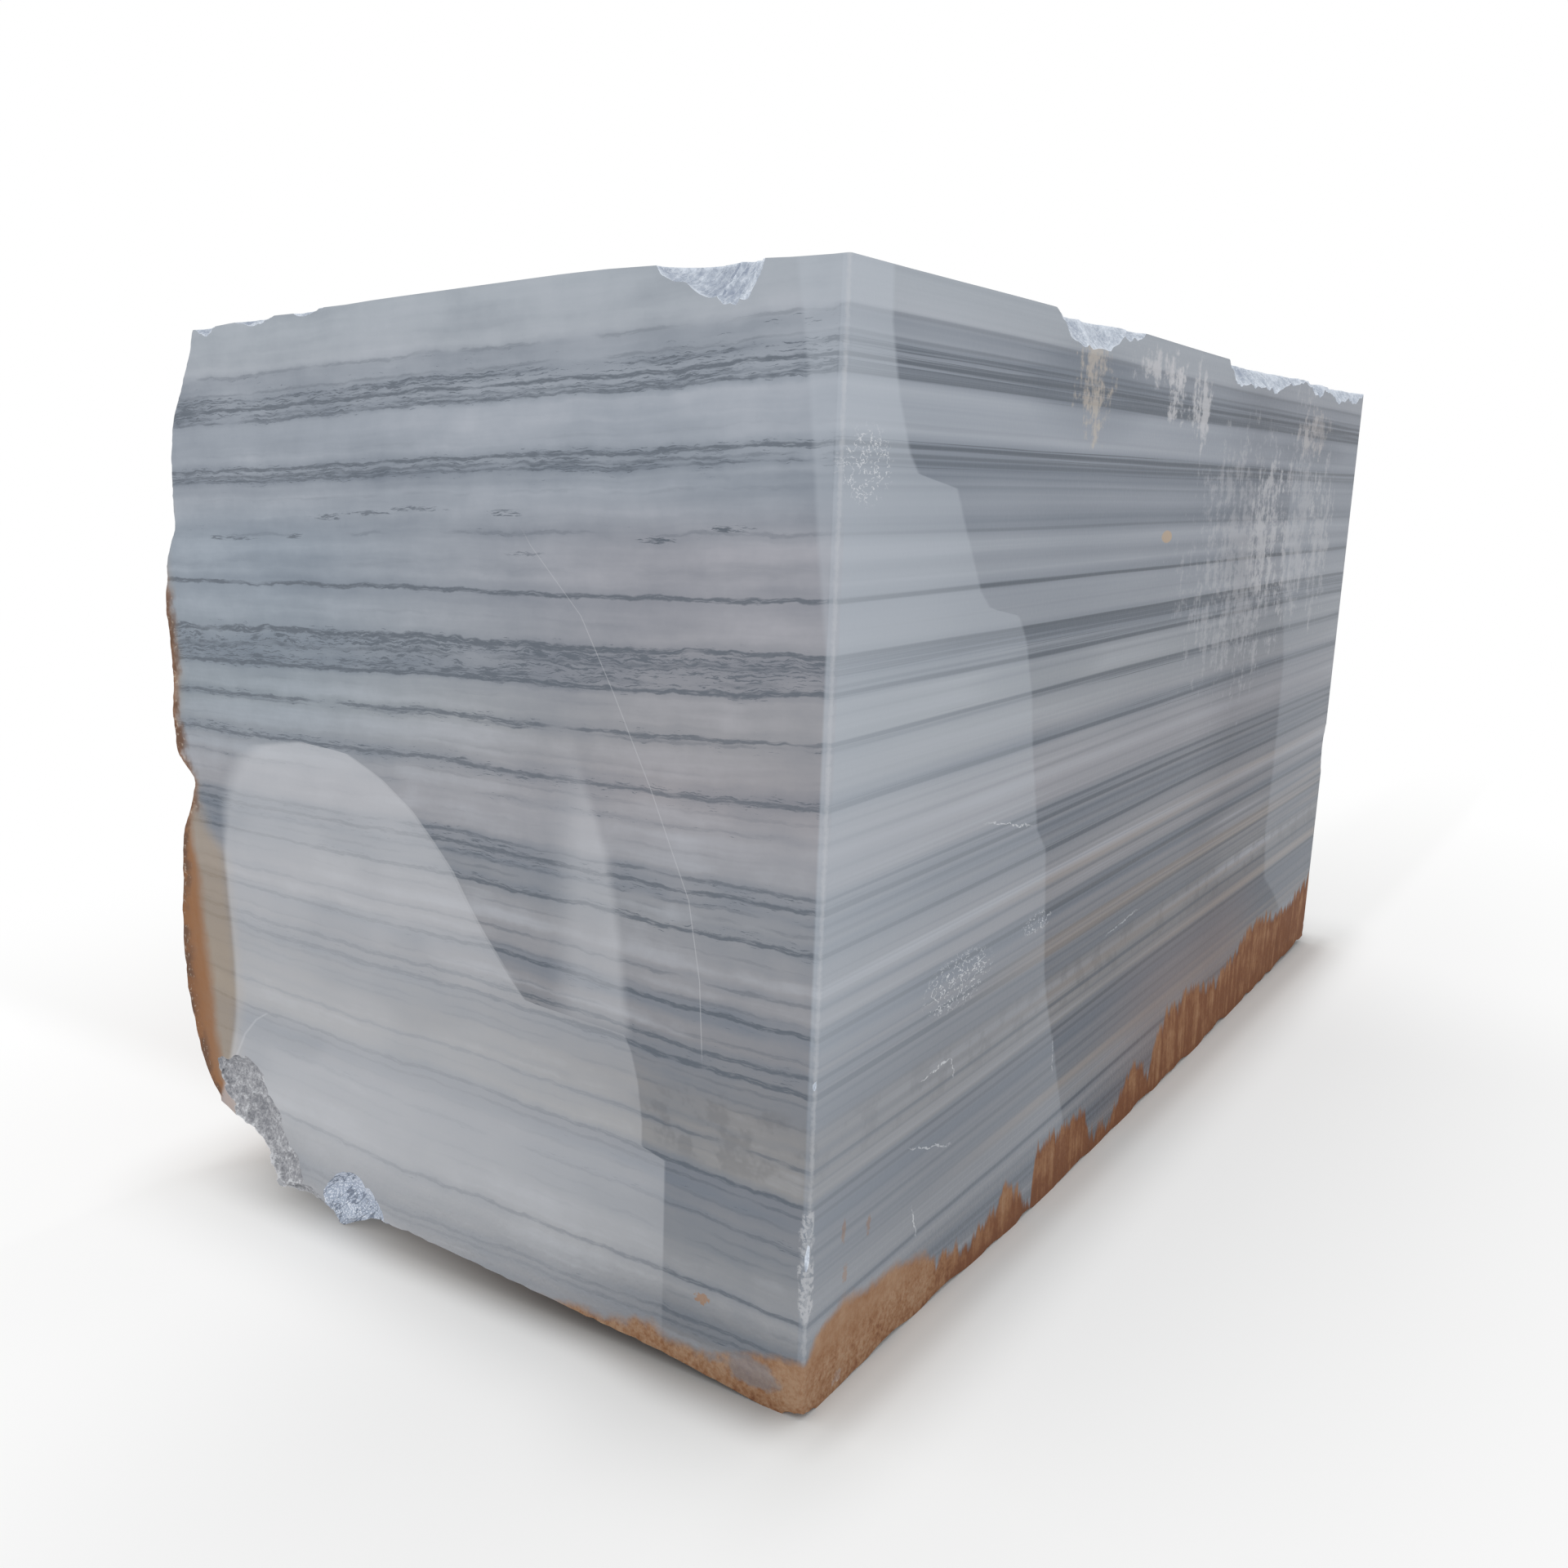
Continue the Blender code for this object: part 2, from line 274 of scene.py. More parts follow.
    def underside(self, x: float, y: float) -> float:
        """Give the height of the split underside, nought where it rests.

        Args:
            x: distance out of the long side, below zero inside the block.
            y: distance along the block.

        Returns:
            The height.
        """
        width = -x
        lift = 0.085 * rough(width, y, 1.0, 0.48) - 0.012
        lift -= 0.16 * ease(0.75, 0.35, math.hypot(width - 0.76, (y - 1.56) * 0.55))
        lift -= 0.10 * ease(0.30, 0.10, width)
        lift = max(0.0, lift)
        lift += 0.16 * ease(1.12, 1.60, width) * (1.0 + 0.6 * rough(width, y, 2.0, 0.3))
        lift += 0.018 * ease(2.55, 3.10, y)
        lift += min(1.0, lift / 0.03) * 0.008 * rough(width, y, 6.0, 0.08)
        lift += 0.016 * ease(0.030, 0.0, width) * max(0.0, 0.2 + rough(width, y, 9.0, 0.11))
        edge = ease(0.02, 0.22, y)
        front = max(0.0, between(self.front_foot, width))
        front += min(1.0, front / 0.02) * 0.003 * rough(width, y, 3.0, 0.03)
        return max(0.0, front * (1.0 - edge) + lift * edge)

    def top_height(self, x: float, y: float) -> float:
        """Give the height of the sawn top, which bows a little.

        Args:
            x: distance out of the long side, below zero inside the block.
            y: distance along the block.

        Returns:
            The height.
        """
        front = between(self.front_top, -x)
        front += 0.005 * ease(0.85, 1.05, -x) * ease(0.12, 0.0, y) * rough(x, y, 2.0, 0.06)
        bow = 0.004 * math.sin(2.1 * y + 0.4) - 0.006 * ease(0.6, 1.6, -x)
        inner = ease(0.0, 0.9, y)
        return self.height + front * (1.0 - inner) + bow * inner


@dataclass
class QuarryBlock:
    """The stone itself: a sawn box with all that broke away taken off it."""

    shape: StoneShape = field(default_factory=StoneShape)
    skins: Mapping[Skin, bpy.types.Material] = field(default_factory=dict)
    saw_height: float = 2.1
    saw_middle: float = 0.9
    saw_cuts: int = 15
    arris_round: float = 0.005
    level_middle: float = -0.83
    level_size: Pair = (2.0, 3.4)
    flank_middle: float = -1.5
    flank_size: Pair = (2.3, 3.5)
    edge_middle: float = 1.90
    edge_size: Pair = (0.44, 2.70)
    top_steps: Steps = (30, 20)
    flank_steps: Steps = (225, 150)
    underside_steps: Steps = (105, 130)
    edge_steps: Steps = (44, 270)
    facet_steps: Steps = (52, 52)
    flake_steps: int = 5
    weld: float = 0.00005
    sharp: float = 42.0

    def build(self) -> bpy.types.Object:
        """Make the block as one closed mesh.

        Returns:
            The object, at the origin, with its skins on it.
        """
        body = self.sawn_body()
        self.cut(body, self.top_cutter())
        self.cut(body, self.chipped_edge_cutter())
        for number, flake in enumerate(self.shape.flakes):
            self.cut(body, self.flake_cutter(f"flake_{number}", flake))
        for number, facet in enumerate(self.shape.facets):
            self.cut(body, self.facet_cutter(f"facet_{number}", facet))
        self.cut(body, self.underside_cutter())
        self.cut(body, self.flank_cutter())
        self.finish(body)
        LOG.info("%s: %d triangles", body.name, len(body.data.polygons))
        return body

    def as_object(self, bm: bmesh.types.BMesh, name: str, skin: Skin) -> bpy.types.Object:
        """Turn a bmesh into a linked object of flat triangles in one skin.

        Args:
            bm: the shape, which is freed.
            name: the object's name.
            skin: the skin of all its faces.

        Returns:
            The new object.
        """
        bmesh.ops.triangulate(bm, faces=bm.faces)
        mesh = bpy.data.meshes.new(name)
        bm.to_mesh(mesh)
        bm.free()
        mesh.materials.append(self.skins[skin])
        made = bpy.data.objects.new(name, mesh)
        bpy.context.scene.collection.objects.link(made)
        return made

    def sawn_body(self) -> bpy.types.Object:
        """Make the box that the saws left, larger where the faces are rough.

        Returns:
            The box, as an object.
        """
        shape = self.shape
        bm = bmesh.new()
        bmesh.ops.create_cube(bm, size=1.0)
        size = Matrix.Diagonal((shape.rough_width, shape.length, self.saw_height, 1.0))
        middle = Matrix.Translation((-shape.rough_width / 2.0, shape.length / 2.0, self.saw_middle))
        bmesh.ops.transform(bm, matrix=middle @ size, verts=bm.verts)
        bmesh.ops.subdivide_edges(bm, edges=bm.edges[:], cuts=self.saw_cuts, use_grid_fill=True)
        arris = [edge for edge in bm.edges
                 if all(vert.co.x > -1e-5 and vert.co.y < 1e-5 for vert in edge.verts)]
        bmesh.ops.bevel(bm, geom=arris, offset=self.arris_round, segments=3, profile=0.5,
                        affect="EDGES", material=-1)
        for vert in bm.verts:
            at = vert.co.copy()
            side = ease(-0.30, 0.0, at.x)
            foot = ease(0.32, 0.0, at.z) * ease(0.3, 0.9, at.y) * ease(2.6, 1.7, at.y)
            vert.co.x += side * (0.015 * foot + 0.002 * math.sin(3.1 * at.y))
            vert.co.x += shape.lean_x * at.z
            vert.co.y += shape.lean_y * at.z
        return self.as_object(bm, "marble_stone", Skin.SAWN)

    def slab(self, name: str, size: Pair, steps: Steps, place: Matrix,
             move: Callable[[Vector], Vector], back: Vector, skin: Skin) -> bpy.types.Object:
        """Make a cutter with one shaped face and a plain back.

        Args:
            name: the cutter's name.
            size: the two sizes of its face.
            steps: the two numbers of steps over the face.
            place: the matrix that puts the face in its plane.
            move: gives the shaped place of a point of the face.
            back: the way from the face to the plain back.
            skin: the skin that it leaves on the stone.

        Returns:
            The cutter.
        """
        bm = bmesh.new()
        bmesh.ops.create_grid(bm, x_segments=steps[0], y_segments=steps[1], size=0.5)
        stretch = Matrix.Diagonal((size[0], size[1], 1.0, 1.0))
        bmesh.ops.transform(bm, matrix=place @ stretch, verts=bm.verts)
        near = bm.verts[:]
        made = bmesh.ops.extrude_face_region(bm, geom=bm.faces[:], use_keep_orig=True)
        far = [item for item in made["geom"] if isinstance(item, bmesh.types.BMVert)]
        bmesh.ops.translate(bm, vec=back, verts=far)
        for vert in near:
            vert.co = move(vert.co)
        bmesh.ops.recalc_face_normals(bm, faces=bm.faces)
        return self.as_object(bm, name, skin)

    def top_cutter(self) -> bpy.types.Object:
        """Make the cutter that leaves the sawn top.

        Returns:
            The cutter.
        """
        def move(at: Vector) -> Vector:
            """Put a point on the top."""
            return Vector((at.x, at.y, self.shape.top_height(at.x, at.y)))

        place = Matrix.Translation((self.level_middle, self.shape.length / 2.0, 0.0))
        return self.slab("top", self.level_size, self.top_steps, place, move,
                         Vector((0.0, 0.0, 2.4)), Skin.SAWN)

    def flank_cutter(self) -> bpy.types.Object:
        """Make the cutter that leaves the natural flank.

        Returns:
            The cutter.
        """
        def move(at: Vector) -> Vector:
            """Put a point on the flank."""
            depth = self.shape.flank_depth(at.y, at.z)
            return Vector((-depth + self.shape.lean_x * at.z, at.y, at.z))

        turn = Matrix.Rotation(math.radians(90.0), 4, "Y")
        middle = (self.flank_middle, self.shape.length / 2.0, self.saw_middle)
        place = Matrix.Translation(middle) @ turn
        return self.slab("flank", self.flank_size, self.flank_steps, place, move,
                         Vector((-0.7, 0.0, 0.0)), Skin.NATURAL)

    def underside_cutter(self) -> bpy.types.Object:
        """Make the cutter that leaves the split underside.

        Returns:
            The cutter.
        """
        def move(at: Vector) -> Vector:
            """Put a point on the underside."""
            return Vector((at.x, at.y, self.shape.underside(at.x, at.y)))

        place = Matrix.Translation((self.level_middle, self.shape.length / 2.0, 0.0))
        return self.slab("underside", self.level_size, self.underside_steps, place, move,
                         Vector((0.0, 0.0, -0.4)), Skin.UNDER)

    def chipped_edge_cutter(self) -> bpy.types.Object:
        """Make the cutter that chips the upper edge of the long side.

        Returns:
            The cutter.
        """
        shape = self.shape
        outward = Vector((0.80, 0.0, 0.60)).normalized()
        edge_x = shape.lean_x * shape.height

        def move(at: Vector) -> Vector:
            """Sink a point by how deep the edge is broken there.

            Args:
                at: the point before.

            Returns:
                The point after.
            """
            depth = between(shape.chipped_edge, at.y) * outward.z
            depth += 0.007 * rough(at.x, at.y, at.z, 0.09)
            depth -= 0.006 * self.ridge(at / 0.10)
            return at - outward * (depth + 0.0030 * rough(at.x, at.y, at.z, 0.022))

        turn = Matrix.Rotation(math.atan2(outward.x, outward.z), 4, "Y")
        place = Matrix.Translation((edge_x, self.edge_middle, shape.height)) @ turn
        return self.slab("chipped_edge", self.edge_size, self.edge_steps, place, move,
                         outward * 0.3, Skin.BROKEN)

    def ridge(self, place: Vector) -> float:
        """Give the sharp ridges that meet between shell-shaped breaks, 0 to 1."""
        return (1.0 - min(1.0, abs(noise.noise(place)) * 1.6)) ** 4.0

    def facet_cutter(self, name: str, facet: Facet) -> bpy.types.Object:
        """Make the cutter of one rough facet.

        Args:
            name: the name that it gets.
            facet: where it is and how rough.

        Returns:
            The cutter.
        """
        outward = Vector(facet.outward).normalized()

        def move(at: Vector) -> Vector:
            """Raise or sink a point by the rock's unevenness.

            Args:
                at: the point before.

            Returns:
                The point after.
            """
            broad = facet.uneven * rough(at.x, at.y, at.z, 0.26)
            fine = 0.25 * facet.uneven * rough(at.x, at.y, at.z, 0.05)
            return at + outward * (broad + fine)

        turn = outward.to_track_quat("Z", "Y").to_matrix().to_4x4()
        place = Matrix.Translation(facet.centre) @ turn
        return self.slab(name, (facet.size, facet.size), self.facet_steps, place, move,
                         outward * 0.8, facet.skin)

    def flake_cutter(self, name: str, flake: Flake) -> bpy.types.Object:
        """Make the cutter of one shell-shaped flake.

        Args:
            name: the name that it gets.
            flake: where it is, its size and its turn.

        Returns:
            The cutter.
        """
        bm = bmesh.new()
        bmesh.ops.create_icosphere(bm, subdivisions=self.flake_steps, radius=1.0)
        seed = Vector(flake.centre) * 9.0
        for vert in bm.verts:
            at = vert.co
            uneven = 0.20 * rough(at.x + seed.x, at.y + seed.y, at.z, 0.9)
            uneven -= 0.10 * self.ridge(at * 1.5 + seed)
            fine = 0.030 * rough(at.x + seed.x, at.y, at.z, 0.20)
            fine += 0.014 * rough(at.x, at.y + seed.y, at.z, 0.07)
            vert.co *= 1.0 + uneven + fine * flake.crumble
        size = Matrix.Diagonal((*flake.radii, 1.0))
        axis = "Y" if flake.radii[0] > flake.radii[1] else "X"
        spin = Matrix.Rotation(math.radians(flake.turn), 4, axis)
        bmesh.ops.transform(bm, matrix=Matrix.Translation(flake.centre) @ spin @ size, verts=bm.verts)
        return self.as_object(bm, name, Skin.BROKEN)

    def cut(self, body: bpy.types.Object, cutter: bpy.types.Object) -> None:
        """Take one cutter away from the body and remove the cutter.

        Args:
            body: the stone so far.
            cutter: what breaks away.
        """
        step = body.modifiers.new("cut", "BOOLEAN")
        step.operation = "DIFFERENCE"
        step.solver = "EXACT"
        step.material_mode = "TRANSFER"
        step.object = cutter
        bpy.context.view_layer.update()
        graph = bpy.context.evaluated_depsgraph_get()
        mesh = bpy.data.meshes.new_from_object(body.evaluated_get(graph))
        body.modifiers.clear()
        bm = bmesh.new()
        bm.from_mesh(mesh)
        bmesh.ops.triangulate(bm, faces=bm.faces)
        bm.to_mesh(mesh)
        bm.free()
        body.data = mesh
        bpy.data.objects.remove(cutter)

    def finish(self, body: bpy.types.Object) -> None:
        """Set the block on its footprint, keep it in its box and mark its arrises.

        Args:
            body: the cut stone.
        """
        low, high = (Vector(corner) for corner in CAD_BOX)
        bm = bmesh.new()
        bm.from_mesh(body.data)
        bmesh.ops.remove_doubles(bm, verts=bm.verts, dist=self.weld)
        away = Vector((-self.shape.middle[0], -self.shape.middle[1], 0.0))
        bmesh.ops.translate(bm, vec=away, verts=bm.verts)
        for vert in bm.verts:
            for axis in range(3):
                vert.co[axis] = min(high[axis], max(low[axis], vert.co[axis]))
        sawn = body.data.materials.find(self.skins[Skin.SAWN].name)
        for face in bm.faces:
            face.smooth = face.material_index != sawn
        for edge in bm.edges:
            if len(edge.link_faces) == 2:
                first, second = edge.link_faces
                turned = edge.calc_face_angle(0.0) > math.radians(self.sharp)
                edge.smooth = not (turned or first.material_index != second.material_index)
        self.mark_crests(bm)
        bm.to_mesh(body.data)
        bm.free()
        body.data.name = body.name

    def mark_crests(self, bm: bmesh.types.BMesh) -> None:
        """Note on every point how far it stands out as a crest, for the finishes.

        Args:
            bm: the finished stone.
        """
        crest = bm.verts.layers.float.new("crest")
        bm.verts.index_update()
        turns = [sum(edge.calc_face_angle_signed(0.0) for edge in vert.link_edges) / len(vert.link_edges)
                 for vert in bm.verts]
        for vert in bm.verts:
            near = [turns[edge.other_vert(vert).index] for edge in vert.link_edges]
            vert[crest] = 0.5 * turns[vert.index] + 0.5 * sum(near) / len(near)


# -------------------------------------------------------------- shading


class Field:
    """A number that varies over the stone, with the usual arithmetic."""

    def __init__(self, bench: "Bench", socket: bpy.types.NodeSocket) -> None:
        """Wrap a socket of one bench."""
        self.bench = bench
        self.socket = socket

    def __add__(self, other: "Field | Number") -> "Field":
        """Add."""
        return self.bench.math("ADD", self, other)

    def __radd__(self, other: Number) -> "Field":
        """Add to a number."""
        return self.bench.math("ADD", other, self)

    def __sub__(self, other: "Field | Number") -> "Field":
        """Subtract."""
        return self.bench.math("SUBTRACT", self, other)

    def __rsub__(self, other: Number) -> "Field":
        """Subtract from a number."""
        return self.bench.math("SUBTRACT", other, self)

    def __mul__(self, other: "Field | Number") -> "Field":
        """Multiply."""
        return self.bench.math("MULTIPLY", self, other)

    def __truediv__(self, other: "Field | Number") -> "Field":
        """Divide."""
        return self.bench.math("DIVIDE", self, other)

    def __neg__(self) -> "Field":
        """Turn the sign."""
        return self.bench.math("MULTIPLY", self, -1.0)

    def __abs__(self) -> "Field":
        """Drop the sign."""
        return self.bench.math("ABSOLUTE", self)

    def __pow__(self, power: Number) -> "Field":
        """Raise to a power."""
        return self.bench.math("POWER", self, power)

    def least(self, other: "Field | Number") -> "Field":
        """Take the lower of the two."""
        return self.bench.math("MINIMUM", self, other)

    def most(self, other: "Field | Number") -> "Field":
        """Take the higher of the two."""
        return self.bench.math("MAXIMUM", self, other)

    def share(self) -> "Field":
        """Keep within 0 and 1."""
        return self.least(1.0).most(0.0)


Colour = bpy.types.NodeSocket | Triple


class Bench:
    """The node tree of one finish, with the few kinds of node it is made from."""

    def __init__(self, name: str) -> None:
        """Start an empty material.

        Args:
            name: the name that it gets.
        """
        self.material = bpy.data.materials.new(name)
        self.material.use_nodes = True
        self.tree = self.material.node_tree
        self.tree.nodes.clear()
        self.place = self.node("ShaderNodeTexCoord").outputs["Object"]
        parts = self.node("ShaderNodeSeparateXYZ", inputs={0: self.place})
        self.x, self.y, self.z = (Field(self, socket) for socket in parts.outputs)

    def node(self, kind: str, settings: Mapping[str, object] | None = None,
             inputs: Mapping[str | int, object] | None = None) -> bpy.types.Node:
        """Add one node.

        Args:
            kind: the node's type.
            settings: its settings, such as an operation or a ramp's stops.
            inputs: values or links, by the socket's number or identifier.

        Returns:
            The node.
        """
        made = self.tree.nodes.new(kind)
        for name, value in (settings or {}).items():
            if name == "stops":
                self.set_stops(made.color_ramp, value)
            else:
                setattr(made, name, value)
        for key, value in (inputs or {}).items():
            self.feed(self.find(made.inputs, key), value)
        return made

    def find(self, sockets: Sequence[bpy.types.NodeSocket], key: str | int) -> bpy.types.NodeSocket:
        """Find a socket by its number, its identifier or its name.

        Args:
            sockets: the sockets of a node.
            key: what to look for.

        Returns:
            The socket.
        """
        if isinstance(key, int):
            return sockets[key]
        for socket in sockets:
            if socket.identifier == key:
                return socket
        return sockets[key]

    def feed(self, socket: bpy.types.NodeSocket, value: object) -> None:
        """Give a socket a link or a plain value.

        Args:
            socket: the socket.
            value: a link, a colour or a number.
        """
        if isinstance(value, Field):
            self.tree.links.new(value.socket, socket)
        elif isinstance(value, bpy.types.NodeSocket):
            self.tree.links.new(value, socket)
        elif isinstance(value, tuple) and socket.type == "RGBA":
            socket.default_value = (*value[:3], 1.0)
        else:
            socket.default_value = value

    def set_stops(self, ramp: bpy.types.ColorRamp, stops: Sequence[tuple[float, Triple]]) -> None:
        """Set all the stops of a ramp.

        Args:
            ramp: the ramp.
            stops: places from 0 to 1 and their colours.
        """
        while len(ramp.elements) < len(stops):
            ramp.elements.new(0.5)
        for element, (at, _) in zip(ramp.elements, stops):
            element.position = at
        for element, (_, colour) in zip(ramp.elements, stops):
            element.color = (*colour, 1.0)

    def math(self, operation: str, *values: Field | Number) -> Field:
        """Join numbers with one operation."""
        made = self.node("ShaderNodeMath", {"operation": operation}, dict(enumerate(values)))
        return Field(self, made.outputs[0])

    def step(self, value: Field, low: Field | Number, high: Field | Number,
             top: Number = 1.0) -> Field:
        """Go smoothly from 0 where value is low to top where it is high.

        Args:
            value: the number that is read.
            low: where the result is 0.
            high: where the result is top.
            top: the highest result.

        Returns:
            The smooth step.
        """
        made = self.node("ShaderNodeMapRange", {"interpolation_type": "SMOOTHSTEP"},
                         {"Value": value, "From Min": low, "From Max": high, "To Max": top})
        return Field(self, made.outputs[0])

    def oval(self, spot: bpy.types.NodeSocket, centre: Pair, size: Pair, turn: Number = 0.0) -> Field:
        """Give how far a spot is from the middle of an oval, squared, 1 at its rim.

        Args:
            spot: the spot, along the face and up.
            centre: the middle of the oval.
            size: its half length and half height.
            turn: how far it is turned, in radians.

        Returns:
            The squared distance.
        """
        place = self.node("ShaderNodeMapping", {"vector_type": "TEXTURE"}, {
            "Vector": spot, "Location": (*centre, 0.0), "Rotation": (0.0, 0.0, turn),
            "Scale": (*size, 1.0)}).outputs[0]
        made = self.node("ShaderNodeVectorMath", {"operation": "DOT_PRODUCT"}, {0: place, 1: place})
        return Field(self, made.outputs["Value"])

    def line(self, value: Field, at: Field | Number, half: Number, soft: Number) -> Field:
        """Give 1 within half of a place, fading over soft."""
        return self.step(abs(value - at), half + soft, half)

    def vector(self, x: Field | Number, y: Field | Number, z: Field | Number) -> bpy.types.NodeSocket:
        """Join three numbers to a place."""
        return self.node("ShaderNodeCombineXYZ", inputs={0: x, 1: y, 2: z}).outputs[0]

    def grain(self, place: bpy.types.NodeSocket, scale: Number = 1.0, detail: Number = 2.0,
              roughness: Number = 0.5, distortion: Number = 0.0) -> Field:
        """Add even cloudy grain.

        Args:
            place: where it is read.
            scale: lumps to the metre of that place.
            detail: how many finer layers there are.
            roughness: how strong the finer layers are.
            distortion: how much it is stirred.

        Returns:
            A number around a half.
        """
        made = self.node("ShaderNodeTexNoise", inputs={
            "Vector": place, "Scale": scale, "Detail": detail,
            "Roughness": roughness, "Distortion": distortion})
        return Field(self, made.outputs[0])

    def curve(self, value: Field, table: Sequence[Pair]) -> Field:
        """Read a table of pairs over a varying number.

        Args:
            value: the place to read.
            table: places and their values, in rising order.

        Returns:
            The value there, held at the ends.
        """
        start, end = table[0][0], table[-1][0]
        low = min(height for _, height in table)
        tall = max(height for _, height in table) - low
        stops = [((at - start) / (end - start), ((height - low) / tall,) * 3) for at, height in table]
        share = (value - start) / (end - start)
        ramp = self.node("ShaderNodeValToRGB", {"stops": stops}, {0: share})
        return Field(self, ramp.outputs[0]) * tall + low

    def tones(self, value: Field, table: Sequence[tuple[float, Triple]]) -> bpy.types.NodeSocket:
        """Read a table of colours over a varying number.

        Args:
            value: the place to read.
            table: places and their colours, in rising order.

        Returns:
            The colour there, held at the ends.
        """
        start, end = table[0][0], table[-1][0]
        stops = [((at - start) / (end - start), colour) for at, colour in table]
        share = (value - start) / (end - start)
        return self.node("ShaderNodeValToRGB", {"stops": stops}, {0: share}).outputs[0]

    def blend(self, share: Field | Number, first: Colour, second: Colour,
              mode: str = "MIX") -> bpy.types.NodeSocket:
        """Mix two colours.

        Args:
            share: how much of the second there is.
            first: the colour underneath.
            second: the colour on top.
            mode: the way they mix.

        Returns:
            The mixed colour.
        """
        settings = {"data_type": "RGBA", "blend_type": mode, "clamp_factor": True}
        made = self.node("ShaderNodeMix", settings,
                         {"Factor_Float": share, "A_Color": first, "B_Color": second})
        return next(socket for socket in made.outputs if socket.identifier == "Result_Color")

    def finish(self, colour: Colour, roughness: Field | Number, height: Field, depth: Number,
               specular: Number = 0.5) -> bpy.types.Material:
        """Close the tree with its shader.

        Args:
            colour: the surface colour.
            roughness: how dull it is.
            height: the relief, 0 to 1.
            depth: how deep that relief is.
            specular: how strong its reflections are.

        Returns:
            The material.
        """
        bump = self.node("ShaderNodeBump", inputs={"Strength": 1.0, "Distance": depth, "Height": height})
        shader = self.node("ShaderNodeBsdfPrincipled", inputs={
            "Base Color": colour, "Roughness": roughness, "Normal": bump.outputs[0],
            "Specular IOR Level": specular})
        self.node("ShaderNodeOutputMaterial", inputs={"Surface": shader.outputs[0]})
        return self.material


@dataclass(frozen=True)
class StonePlace:
    """Where a spot is on the block: from the near edge along each face, and up."""

    front: Field
    side: Field
    up: Field
    on_front: Field
    on_side: Field
    front_spot: bpy.types.NodeSocket
    side_spot: bpy.types.NodeSocket

    @classmethod
    def of(cls, bench: Bench, shape: StoneShape) -> "StonePlace":
        """Measure from the foot of the near edge, along the leaning faces.

        Args:
            bench: the finish's nodes.
            shape: the sizes of the stone.

        Returns:
            The place.
        """
        front = bench.z * shape.lean_x - bench.x - shape.middle[0]
        side = bench.y + shape.middle[1] - bench.z * shape.lean_y
        inner, outer = 0.016, 0.010
        return cls(front, side, bench.z,
                   bench.step(side, inner, outer), bench.step(front, inner, outer),
                   bench.vector(front, bench.z, 0.0), bench.vector(side, bench.z, 0.0))

    def grain(self, bench: Bench, scale: Triple, up: Field | None = None, detail: Number = 2.0,
              roughness: Number = 0.55, distortion: Number = 0.0) -> Field:
        """Add grain that is stretched along the block's own directions.

        Args:
            bench: the finish's nodes.
            scale: lumps to the metre across the front, along the side and up.
            up: the level to use in place of the height.
            detail: how many finer layers there are.
            roughness: how strong the finer layers are.
            distortion: how much it is stirred.

        Returns:
            A number around a half.
        """
        height = self.up if up is None else up
        place = bench.vector(self.front * scale[0], self.side * scale[1], height * scale[2])
        return bench.grain(place, 1.0, detail, roughness, distortion)


@dataclass(frozen=True)
class Grains:
    """Grain that the finishes share, so that each is worked out once."""

    cloud: Field
    blot: Field
    drip: Field
    grit: Field

    @classmethod
    def of(cls, bench: Bench, place: StonePlace) -> "Grains":
        """Add the shared grain to a finish."""
        return cls(
            place.grain(bench, (2.4, 0.7, 4.6)),
            bench.grain(bench.place, 17.0, detail=3.0, roughness=0.62),
            place.grain(bench, (44.0, 44.0, 3.4), detail=3.0, roughness=0.6),
            bench.grain(bench.place, 120.0, detail=2.0, roughness=0.6),
        )


@dataclass(frozen=True)
class Layer:
    """One layer of the bedding: a thread, a crowd of wisps, a soft shade, or all."""

    at: float
    half: float = 0.0014
    line: float = 0.0
    wisps: float = 0.0
    shade: float = 0.0
    soft: float = 0.0028

    def corners(self) -> tuple[float, ...]:
        """Give the heights where the layer starts and ends."""
        return (self.at - self.half - self.soft, self.at - self.half,
                self.at + self.half, self.at + self.half + self.soft)

    def share(self, height: float) -> float:
        """Give how much of the layer there is at a height.

        Args:
            height: the height in the bedding.

        Returns:
            From 0 outside it to 1 in its middle.
        """
        a, b, c, d = self.corners()
        if height <= a or height >= d:
            return 0.0
        if height < b:
            return (height - a) / (b - a)
        return 1.0 if height <= c else (d - height) / (d - c)


@dataclass(frozen=True)
class Smudge:
    """A short dark streak that stands alone in a pale bed of the end face."""

    along: float
    up: float
    long: float
    thick: float = 0.006
    strength: float = 0.7


